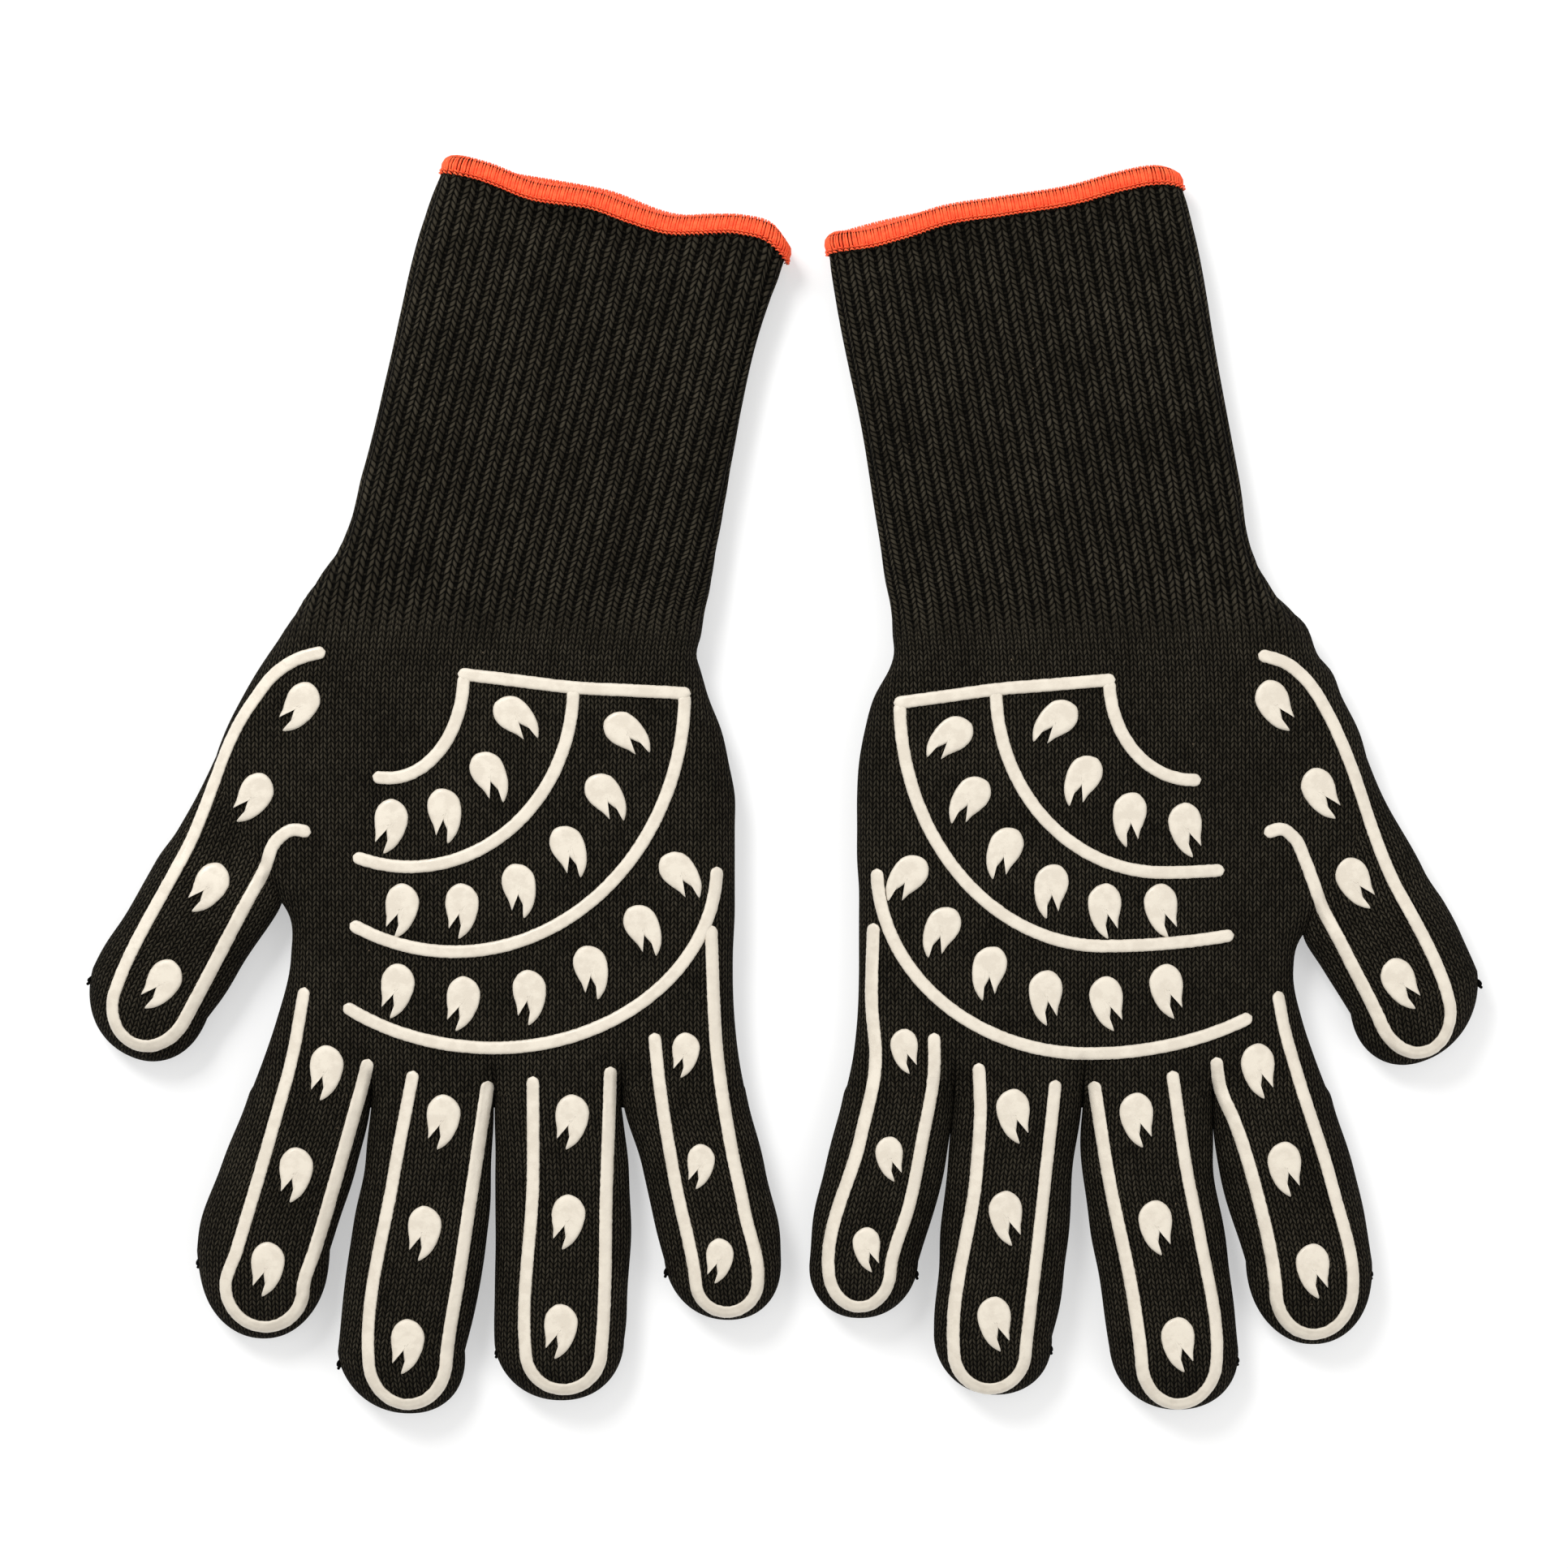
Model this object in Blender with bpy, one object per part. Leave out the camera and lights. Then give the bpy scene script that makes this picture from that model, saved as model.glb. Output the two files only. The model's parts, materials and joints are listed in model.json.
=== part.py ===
# A pair of heat resistant gloves, lying flat with the palm sides up and the fingers towards -Y.
# Each glove is a knitted shell in segments that meet at the creases where it bends: a cuff, a palm
# and two segments for each digit, with raised silicone lines on top and a liner inside.

import math

import bmesh
import bpy
from mathutils import Matrix, Vector

MM = 0.001

# Driving dimensions, in metres.
GLOVE_THICKNESS = 15 * MM  # from the surface it lies on to the top of the knit
KNIT_WALL = 2.2 * MM
LINER_WALL = 1.2 * MM
LAYER_GAP = 0.3 * MM  # between layers that touch
CREASE_GAP = 0.6 * MM  # between two segments at the crease where they meet
TIP_WALL = 2.6 * MM
EDGING_HEIGHT = 6 * MM
PRINT_WIDTH = 3.6 * MM
PRINT_HEIGHT = 1.0 * MM
LINER_SETBACK = 1.5 * MM  # from the edging's rim down to the liner's edge
THUMB_CREASE_MARGIN = 0.8 * MM  # the palm's crease at the thumb, past the thumb's side
PASSAGE_REACH_IN = 14 * MM  # how far the thumb's way in is cut, from its crease
PASSAGE_REACH_OUT = 3 * MM

# How far each crease folds, in degrees.
WRIST_FOLD = 60
FINGER_ROOT_FOLD = 70
FINGER_MIDDLE_FOLD = 80
THUMB_ROOT_FOLD = 50
THUMB_MIDDLE_FOLD = 60

RING_POINTS = 16  # corners of each cross section, halved steps keep its top and bottom flat
RING_ROUNDNESS = 3.0
TIP_STEPS = 3
TIP_BLUNTNESS = 0.62  # length of the rounded end as a share of its half width
TIP_DROOP = 0.28  # how much of the thickness the rounded end would lose on each side at its point
TIP_SWEEP = 78  # degrees of the rounded end that are drawn, before its flat cap
TIP_NARROWING = 0.7  # power of the rounded end's outline, and of the cavity inside it
CAVITY_NARROWING = 0.9
PRINT_TOP_SHARE = 0.6  # width of a line's top, as a share of its foot
PRINT_SPREAD = 0.58  # where a digit's lines run, as a share of its half width
PRINT_TURN_DEPTH = 0.9  # depth of a tip line's turn, as a share of its half width
PRINT_TURN_REACH = 0.45  # how far the turn reaches into the rounded end
PRINT_TURN_STEPS = 8


# Places across (x) and along (y) are in millimetres, outlines run from the wrist to the fingers.
# A digit has its root, middle and tip places, its half widths there, and the lean of its sections
# and hinges from square to Y, in degrees.
RIGHT_HAND = {
    "name": "right",
    "palm": [(44.6, -130.8, -21.7), (31.6, -140.1, -22.0), (14.3, -149.4, -16.5), (-3.0, -157.6, -13.4),
             (-46.3, -131.9, -13.4), (-63.7, -136.2, -12.4), (-80.0, -142.5, -10.4)],
    "cuff": [(44.6, -76.2, 54.6, 0.0), (62.0, -68.5, 49.6, -5.0), (101.0, -59.5, 47.6, -12.0),
             (156.1, -44.2, 47.6, -14.5)],
    "digits": {
        "thumb": {"root": (-148.8, -23.4), "middle": (-162.0, -47.5), "tip": (-172.0, -74.0),
                  "half_widths": (16.4, 18.0, 16.4), "lean": 24.0},
        "index": {"root": (-126.3, -80.0), "middle": (-133.6, -108.0), "tip": (-139.8, -148.5),
                  "half_widths": (15.8, 17.8, 16.4), "lean": 0.0},
        "middle": {"root": (-93.8, -80.0), "middle": (-97.3, -120.0), "tip": (-101.2, -168.2),
                   "half_widths": (15.8, 17.4, 16.0), "lean": 0.0},
        "ring": {"root": (-60.7, -80.0), "middle": (-59.6, -120.0), "tip": (-59.8, -164.8),
                 "half_widths": (16.3, 17.4, 15.6), "lean": 0.0},
        "little": {"root": (-27.1, -80.0), "middle": (-20.4, -108.0), "tip": (-15.2, -143.3),
                   "half_widths": (16.4, 16.4, 14.6), "lean": 0.0},
    },
    "across": 1,
}
LEFT_HAND = {
    "name": "left",
    "palm": [(44.6, 27.5, 134.1), (31.6, 28.2, 144.8), (14.3, 21.0, 153.3), (-3.0, 19.1, 160.6),
             (-50.0, 19.6, 135.6), (-63.7, 18.8, 138.3), (-80.0, 15.9, 145.0)],
    "cuff": [(44.6, 80.8, 53.3, 0.0), (62.0, 75.1, 49.2, 3.0), (101.0, 68.5, 48.4, 8.0),
             (156.1, 57.6, 48.0, 11.0)],
    "digits": {
        "thumb": {"root": (155.7, -33.5), "middle": (164.3, -53.5), "tip": (170.4, -75.0),
                  "half_widths": (18.2, 18.8, 16.8), "lean": -19.0},
        "index": {"root": (129.8, -80.0), "middle": (135.6, -108.0), "tip": (141.4, -150.0),
                  "half_widths": (15.0, 17.4, 16.0), "lean": 0.0},
        "middle": {"root": (97.1, -80.0), "middle": (99.4, -120.0), "tip": (104.2, -167.8),
                   "half_widths": (16.6, 17.2, 15.8), "lean": 0.0},
        "ring": {"root": (62.4, -80.0), "middle": (58.6, -120.0), "tip": (56.0, -163.7),
                 "half_widths": (16.4, 16.6, 14.8), "lean": 0.0},
        "little": {"root": (30.6, -80.0), "middle": (25.2, -108.0), "tip": (20.2, -143.1),
                   "half_widths": (14.0, 15.6, 14.0), "lean": 0.0},
    },
    "across": -1,
}
FOLDS = {"thumb": (THUMB_ROOT_FOLD, THUMB_MIDDLE_FOLD)}

# Silicone lines on the palm: quarter ovals with a short run past the bottom. Each has its centre,
# its radii across and along, and how far it runs on past its lowest point, in degrees. They are
# measured on the right-hand glove and mirrored for the left one.
PALM_ARCS = {
    "inner": {"centre": (-105.0, 29.0), "radii": (20.1, 27.3), "run_on": 12},
    "middle": {"centre": (-99.5, 25.4), "radii": (43.6, 47.6), "run_on": 20},
    "outer": {"centre": (-87.7, 24.0), "radii": (60.8, 68.4), "run_on": 26},
}
LOW_ARC = {"centre": (-77.0, -21.9), "radii": (58.8, 48.2), "run_on": 40}
MIRROR_PLACE = {1: 0.0, -1: 3.4}  # across, added after mirroring

KNIT_COLOUR = (0.016, 0.014, 0.011, 1.0)
LINER_COLOUR = (0.20, 0.19, 0.17, 1.0)
SILICONE_COLOUR = (0.74, 0.66, 0.54, 1.0)
EDGING_COLOUR = (0.90, 0.09, 0.035, 1.0)


def clear_scene():
    for obj in list(bpy.data.objects):
        bpy.data.objects.remove(obj, do_unlink=True)


def make_material(name, colour, roughness):
    material = bpy.data.materials.new(name)
    material.use_nodes = True
    shader = material.node_tree.nodes["Principled BSDF"]
    shader.inputs["Base Color"].default_value = colour
    shader.inputs["Roughness"].default_value = roughness
    shader.inputs["Metallic"].default_value = 0.0
    return material


def ring_profile(half_width, low, high):
    """Corners (across, height) of a rounded cross section, flat in the middle of its top and bottom."""
    middle, half_height = (low + high) / 2, (high - low) / 2
    steepest = math.sin(math.pi / 2 - math.pi / RING_POINTS) ** (2 / RING_ROUNDNESS)
    corners = []
    for step in range(RING_POINTS):
        turn = (step + 0.5) * 2 * math.pi / RING_POINTS
        across = math.copysign(abs(math.cos(turn)) ** (2 / RING_ROUNDNESS), math.cos(turn))
        height = math.copysign(abs(math.sin(turn)) ** (2 / RING_ROUNDNESS), math.sin(turn))
        corners.append((half_width * across, middle + half_height * height / steepest))
    return corners


def crease_setback(height, fold):
    """How far a segment's end stands back from its crease, so that the palm side is free to fold."""
    above = max(0.0, height - GLOVE_THICKNESS / 2)
    return CREASE_GAP / 2 + above * math.tan(math.radians(fold) / 2)


def ring_at(station, inset):
    """Corners of one cross section in world space. A station says where it is and what ends there."""
    squeeze = station.get("squeeze", 0.0)
    low = inset + squeeze * GLOVE_THICKNESS
    high = GLOVE_THICKNESS - inset - squeeze * GLOVE_THICKNESS
    turn = math.radians(station["turn"])
    sideways = Vector((math.cos(turn), math.sin(turn), 0))
    backwards = Vector((-math.sin(turn), math.cos(turn), 0))
    place = Vector((station["place"][0], station["place"][1], 0))
    corners = []
    for across, height in ring_profile(station["half_width"] - inset, low, high):
        corner = place + sideways * across + Vector((0, 0, height))
        if "fold" in station:
            corner -= backwards * station["side"] * crease_setback(height, station["fold"])
        corners.append(corner)
    return corners


def loft(name, rings, closed, material, body):
    """One closed body through a list of rings: a loop of rings, or a run with both ends capped."""
    grid = bmesh.new()
    pivot = body.matrix_world.translation
    rows = [[grid.verts.new(corner - pivot) for corner in ring] for ring in rings]
    pairs = list(zip(rows, rows[1:] + rows[:1])) if closed else list(zip(rows, rows[1:]))
    for first, second in pairs:
        for k in range(len(first)):
            after = (k + 1) % len(first)
            grid.faces.new((first[k], first[after], second[after], second[k]))
    if not closed:
        grid.faces.new(rows[0])
        grid.faces.new(rows[-1])
    bmesh.ops.triangulate(grid, faces=grid.faces[:])
    bmesh.ops.recalc_face_normals(grid, faces=grid.faces[:])
    mesh = bpy.data.meshes.new(name)
    grid.to_mesh(mesh)
    grid.free()
    mesh.shade_smooth()
    mesh.set_sharp_from_angle(angle=math.radians(40))
    mesh.materials.append(material)
    obj = bpy.data.objects.new(name, mesh)
    bpy.context.scene.collection.objects.link(obj)
    obj.parent = body
    return obj


def make_body(name, place, parent):
    """An empty on its joint's axis, for one moving body."""
    empty = bpy.data.objects.new(name, None)
    empty.empty_display_size = 10 * MM
    bpy.context.scene.collection.objects.link(empty)
    world = Matrix.Translation(Vector((place[0], place[1], place[2])))
    if parent is not None:
        empty.parent = parent
        world = parent.matrix_world.inverted() @ world
    empty.matrix_basis = world
    bpy.context.view_layer.update()
    return empty


def tube(name, stations, inset, wall, material, body):
    """A hollow segment, open at both ends."""
    outer = [ring_at(station, inset) for station in stations]
    inner = [ring_at(station, inset + wall) for station in stations]
    return loft(name, outer + inner[::-1], True, material, body)


def thimble(name, stations, inner_stations, wall, material, body):
    """A hollow segment, open at its first station and closed at its last one."""
    outer = [ring_at(station, 0.0) for station in stations]
    inner = [ring_at(station, wall) for station in inner_stations]
    return loft(name, outer[::-1] + inner, False, material, body)


def digit_stations(digit, folds):
    """The cross sections of a digit's two segments: base start and end, then the tip's own."""
    turn = digit["lean"]
    points = [Vector(digit[key]) * MM for key in ("root", "middle", "tip")]
    widths = [width * MM for width in digit["half_widths"]]
    root, middle, tip = points
    # Sections square to the digit's lean, whose creases lie along the joints' axes.
    base = [{"place": root, "half_width": widths[0], "turn": -turn, "fold": folds[0], "side": 1},
            {"place": middle, "half_width": widths[1], "turn": -turn, "fold": folds[1], "side": -1}]
    end_length = TIP_BLUNTNESS * widths[2]
    along = (tip - middle).normalized()
    shoulder = tip - along * end_length
    start = {"place": middle, "half_width": widths[1], "turn": -turn, "fold": folds[1], "side": 1}

    def rounded(shift, narrower):
        """Stations of the rounded end, moved back by shift where a wall is left outside them."""
        found = [start]
        for step in range(TIP_STEPS + 1):
            sweep = math.radians(TIP_SWEEP) * step / TIP_STEPS
            found.append({"place": shoulder + along * (end_length - shift) * math.sin(sweep),
                          "half_width": widths[2] * math.cos(sweep) ** narrower,
                          "turn": -turn, "squeeze": TIP_DROOP * (1 - math.cos(sweep))})
        return found

    return base, rounded(0.0, TIP_NARROWING), rounded(TIP_WALL, CAVITY_NARROWING)[:-1]


def ribbon(name, path, heights, material, body):
    """A raised line of silicone along a path of (x, y) points, with its underside at the heights."""
    rings = []
    for number, point in enumerate(path):
        before, after = path[max(0, number - 1)], path[min(len(path) - 1, number + 1)]
        along = (after - before).normalized()
        side = Vector((-along.y, along.x))
        half = PRINT_WIDTH / 2
        low = heights[number]
        ring = []
        top = half * PRINT_TOP_SHARE
        for across, height in ((-half, 0.0), (half, 0.0), (top, PRINT_HEIGHT), (-top, PRINT_HEIGHT)):
            place = point + side * across
            ring.append(Vector((place.x, place.y, low + height)))
        rings.append(ring)
    return loft(name, rings, False, material, body)


def oval_path(arc, across, start=0.0, steps=10):
    """Points of a palm line, from its side end round to past its lowest point."""
    points = []
    for step in range(steps + 1):
        sweep = math.radians(start + (90 + arc["run_on"] - start) * step / steps)
        x = arc["centre"][0] + arc["radii"][0] * math.cos(sweep)
        y = arc["centre"][1] - arc["radii"][1] * math.sin(sweep)
        points.append(Vector((x * across + MIRROR_PLACE[across], y)) * MM)
    return points


def add_palm_prints(glove, body, material):
    """The printed frame, one piece of a top line and three ovals, and the separate low oval."""
    name, across = glove["name"], glove["across"]
    level = GLOVE_THICKNESS + LAYER_GAP
    frame = None
    for key, arc in PALM_ARCS.items():
        path = oval_path(arc, across)
        line = ribbon(f"{name}_palm_frame_{key}", path, [level] * len(path), material, body)
        if frame is None:
            frame = line
            frame.name = f"{name}_palm_frame"
        else:
            join_to(frame, line)
    path = [oval_path(arc, across)[0] for arc in PALM_ARCS.values()]
    path[0] = path[0] - (path[1] - path[0]).normalized() * PRINT_WIDTH / 2
    path[-1] = path[-1] + (path[-1] - path[-2]).normalized() * PRINT_WIDTH / 2
    join_to(frame, ribbon(f"{name}_palm_frame_top", path, [level] * len(path), material, body))
    path = oval_path(LOW_ARC, across)
    ribbon(f"{name}_palm_low_line", path, [level] * len(path), material, body)


def join_to(target, operand):
    operand.hide_render = True
    operand.display_type = "WIRE"
    union = target.modifiers.new(f"join {operand.name}", "BOOLEAN")
    union.operation = "UNION"
    union.object = operand


def add_digit_prints(glove, key, stations, bodies, material, folds):
    """A pair of side lines on the base segment and a closed U on the tip segment."""
    name = f"{glove['name']}_{key}"
    base, tip, _ = stations
    reach = GLOVE_THICKNESS / 2 + LAYER_GAP + PRINT_HEIGHT

    def edge_point(station, share, onward):
        turn = math.radians(station["turn"])
        place = Vector((station["place"][0], station["place"][1]))
        point = place + Vector((math.cos(turn), math.sin(turn))) * share * station["half_width"]
        return point + onward

    along = (tip[-1]["place"] - tip[0]["place"]).normalized()
    before = reach * math.tan(math.radians(folds[0]) / 2) + CREASE_GAP
    middle_gap = reach * math.tan(math.radians(folds[1]) / 2) + CREASE_GAP
    shoulder = tip[1]
    end_length = (tip[-1]["place"] - shoulder["place"]).length
    level = GLOVE_THICKNESS + LAYER_GAP
    path = [edge_point(tip[0], -PRINT_SPREAD, along * middle_gap)]
    radius = PRINT_SPREAD * shoulder["half_width"]
    centre = Vector(shoulder["place"]) - along * (radius * PRINT_TURN_DEPTH - end_length * PRINT_TURN_REACH)
    across = Vector((-along.y, along.x))
    for step in range(PRINT_TURN_STEPS + 1):
        sweep = math.pi * step / PRINT_TURN_STEPS
        depth = radius * PRINT_TURN_DEPTH * math.sin(sweep)
        path.append(centre - across * radius * math.cos(sweep) + along * depth)
    path.append(edge_point(tip[0], PRINT_SPREAD, along * middle_gap))
    if (path[0] - path[1]).length > (path[0] - path[-2]).length:
        path[1:-1] = path[-2:0:-1]
    ribbon(f"{name}_tip_print", path, [level] * len(path), material, bodies[1])
    if key == "thumb":
        return
    onward = (base[1]["place"] - base[0]["place"]).normalized()
    for side, label in ((-1, "west"), (1, "east")):
        path = [edge_point(base[0], side * PRINT_SPREAD, onward * before),
                edge_point(base[1], side * PRINT_SPREAD, -onward * middle_gap)]
        ribbon(f"{name}_{label}_line", path, [level] * 2, material, bodies[0])


def palm_rows(glove):
    """The palm's rows (along, west, east), with the two where the thumb's crease starts and ends."""
    rows = [(along * MM, west * MM, east * MM) for along, west, east in glove["palm"]]
    thumb = glove["digits"]["thumb"]
    turn = math.radians(-thumb["lean"])
    sideways = Vector((math.cos(turn), math.sin(turn)))
    backwards = Vector((-math.sin(turn), math.cos(turn)))
    half_width = thumb["half_widths"][0] * MM + THUMB_CREASE_MARGIN
    root = Vector(thumb["root"]) * MM + backwards * CREASE_GAP
    above = [row for row in rows if row[0] > root.y][-1]
    below = [row for row in rows if row[0] < root.y][0]
    crease = []
    for end in (-1, 1):
        corner = root + sideways * half_width * end * glove["across"]
        share = (above[0] - corner.y) / (above[0] - below[0])
        if glove["across"] > 0:
            crease.append((corner.y, corner.x, above[2] + (below[2] - above[2]) * share))
        else:
            crease.append((corner.y, above[1] + (below[1] - above[1]) * share, corner.x))
    return sorted(rows + crease, reverse=True)


def make_glove(glove, materials):
    name = glove["name"]
    knit, liner, silicone, edging = materials
    root = make_body(f"{name}_palm_body", (0, 0, 0), None)

    palm = []
    for along, west, east in palm_rows(glove):
        middle = Vector(((west + east) / 2, along))
        palm.append({"place": middle, "half_width": (east - west) / 2, "turn": 0.0})
    palm[0].update(fold=WRIST_FOLD, side=1)
    palm[-1].update(fold=FINGER_ROOT_FOLD, side=-1)
    palm_knit = tube(f"{name}_palm_knit", palm, 0.0, KNIT_WALL, knit, root)
    liner_inset = KNIT_WALL + LAYER_GAP
    palm_liner = tube(f"{name}_palm_liner", palm, liner_inset, LINER_WALL, liner, root)

    axis_height = GLOVE_THICKNESS / 2
    cuff = []
    for along, across, half_width, turn in glove["cuff"]:
        cuff.append({"place": Vector((across, along)) * MM, "half_width": half_width * MM, "turn": turn})
    cuff[0].update(fold=WRIST_FOLD, side=-1)
    mouth = cuff[-1]
    turn = math.radians(mouth["turn"])
    outwards = Vector((-math.sin(turn), math.cos(turn)))
    knit_end = dict(mouth, place=mouth["place"] - outwards * (EDGING_HEIGHT + LAYER_GAP))
    edging_start = dict(mouth, place=mouth["place"] - outwards * EDGING_HEIGHT)
    liner_end = dict(mouth, place=mouth["place"] - outwards * LINER_SETBACK)
    wrist_place = cuff[0]["place"]
    cuff_body = make_body(f"{name}_cuff_body", (wrist_place.x, wrist_place.y, axis_height), root)
    tube(f"{name}_cuff_knit", cuff[:-1] + [knit_end], 0.0, KNIT_WALL, knit, cuff_body)
    # The liner bends where the edging starts, so that it runs alongside the edging.
    liner_rows = cuff[:-1] + [edging_start, liner_end]
    tube(f"{name}_cuff_liner", liner_rows, liner_inset, LINER_WALL, liner, cuff_body)
    tube(f"{name}_cuff_edging", [edging_start, mouth], 0.0, KNIT_WALL, edging, cuff_body)

    for key, digit in glove["digits"].items():
        folds = FOLDS.get(key, (FINGER_ROOT_FOLD, FINGER_MIDDLE_FOLD))
        base, tip, cavity = digit_stations(digit, folds)
        base_place, tip_place = base[0]["place"], base[1]["place"]
        base_body = make_body(f"{name}_{key}_base_body", (*base_place, axis_height), root)
        tip_body = make_body(f"{name}_{key}_tip_body", (*tip_place, axis_height), base_body)
        tube(f"{name}_{key}_base_knit", base, 0.0, KNIT_WALL, knit, base_body)
        thimble(f"{name}_{key}_tip_knit", tip, cavity, KNIT_WALL, knit, tip_body)
        add_digit_prints(glove, key, (base, tip, cavity), (base_body, tip_body), silicone, folds)
        if key == "thumb":
            passage = thumb_passage(name, base, liner_inset + LINER_WALL + LAYER_GAP, root)
            for shell in (palm_knit, palm_liner):
                cut = shell.modifiers.new("thumb passage", "BOOLEAN")
                cut.operation = "DIFFERENCE"
                cut.object = passage
    add_palm_prints(glove, root, silicone)
    return root


def thumb_passage(name, base, inset, body):
    """The way from the palm into the thumb, cut through the palm's wall."""
    start = base[0]
    turn = math.radians(start["turn"])
    outwards = Vector((math.sin(turn), -math.cos(turn)))
    ends = []
    for shift in (-PASSAGE_REACH_IN, PASSAGE_REACH_OUT):
        ends.append({"place": start["place"] + outwards * shift, "half_width": start["half_width"],
                     "turn": start["turn"]})
    passage = loft(f"{name}_thumb_passage", [ring_at(end, inset) for end in ends], False, None, body)
    passage.hide_render = True
    passage.display_type = "WIRE"
    return passage


def centre_pair(roots):
    """Moves both gloves so that the pair is centred on the origin."""
    bpy.context.view_layer.update()
    corners = []
    for obj in bpy.context.scene.objects:
        if obj.type == "MESH" and not obj.hide_render:
            corners += [obj.matrix_world @ vertex.co for vertex in obj.data.vertices]
    middle = [(min(c[axis] for c in corners) + max(c[axis] for c in corners)) / 2 for axis in range(2)]
    for root in roots:
        root.location -= Vector((middle[0], middle[1], 0))
    bpy.context.view_layer.update()


def main():
    clear_scene()
    materials = (make_material("black aramid knit", KNIT_COLOUR, 0.9),
                 make_material("cotton liner", LINER_COLOUR, 0.95),
                 make_material("cream silicone", SILICONE_COLOUR, 0.45),
                 make_material("orange edging thread", EDGING_COLOUR, 0.75))
    centre_pair([make_glove(glove, materials) for glove in (RIGHT_HAND, LEFT_HAND)])


main()
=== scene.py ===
import json
import math

import bmesh
import bpy
import numpy as np
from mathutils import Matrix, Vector, noise
from mathutils.bvhtree import BVHTree


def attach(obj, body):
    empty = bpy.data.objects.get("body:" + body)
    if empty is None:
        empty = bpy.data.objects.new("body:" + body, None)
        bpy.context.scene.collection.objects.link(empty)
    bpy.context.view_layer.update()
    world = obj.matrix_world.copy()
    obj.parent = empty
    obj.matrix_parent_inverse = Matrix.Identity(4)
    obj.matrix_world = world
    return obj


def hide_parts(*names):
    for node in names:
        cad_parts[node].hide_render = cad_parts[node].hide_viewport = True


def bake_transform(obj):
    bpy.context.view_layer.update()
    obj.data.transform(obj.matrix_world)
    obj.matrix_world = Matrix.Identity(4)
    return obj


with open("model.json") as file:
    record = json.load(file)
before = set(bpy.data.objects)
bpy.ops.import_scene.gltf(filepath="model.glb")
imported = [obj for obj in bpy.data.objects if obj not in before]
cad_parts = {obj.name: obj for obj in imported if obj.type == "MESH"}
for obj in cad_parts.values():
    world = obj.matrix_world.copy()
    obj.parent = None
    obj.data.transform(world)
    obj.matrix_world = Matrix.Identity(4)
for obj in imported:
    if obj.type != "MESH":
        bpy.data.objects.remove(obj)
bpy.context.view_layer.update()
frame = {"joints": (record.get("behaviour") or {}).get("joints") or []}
mm = 0.001
jointAt = {joint["name"]: joint for joint in frame["joints"]}

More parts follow.
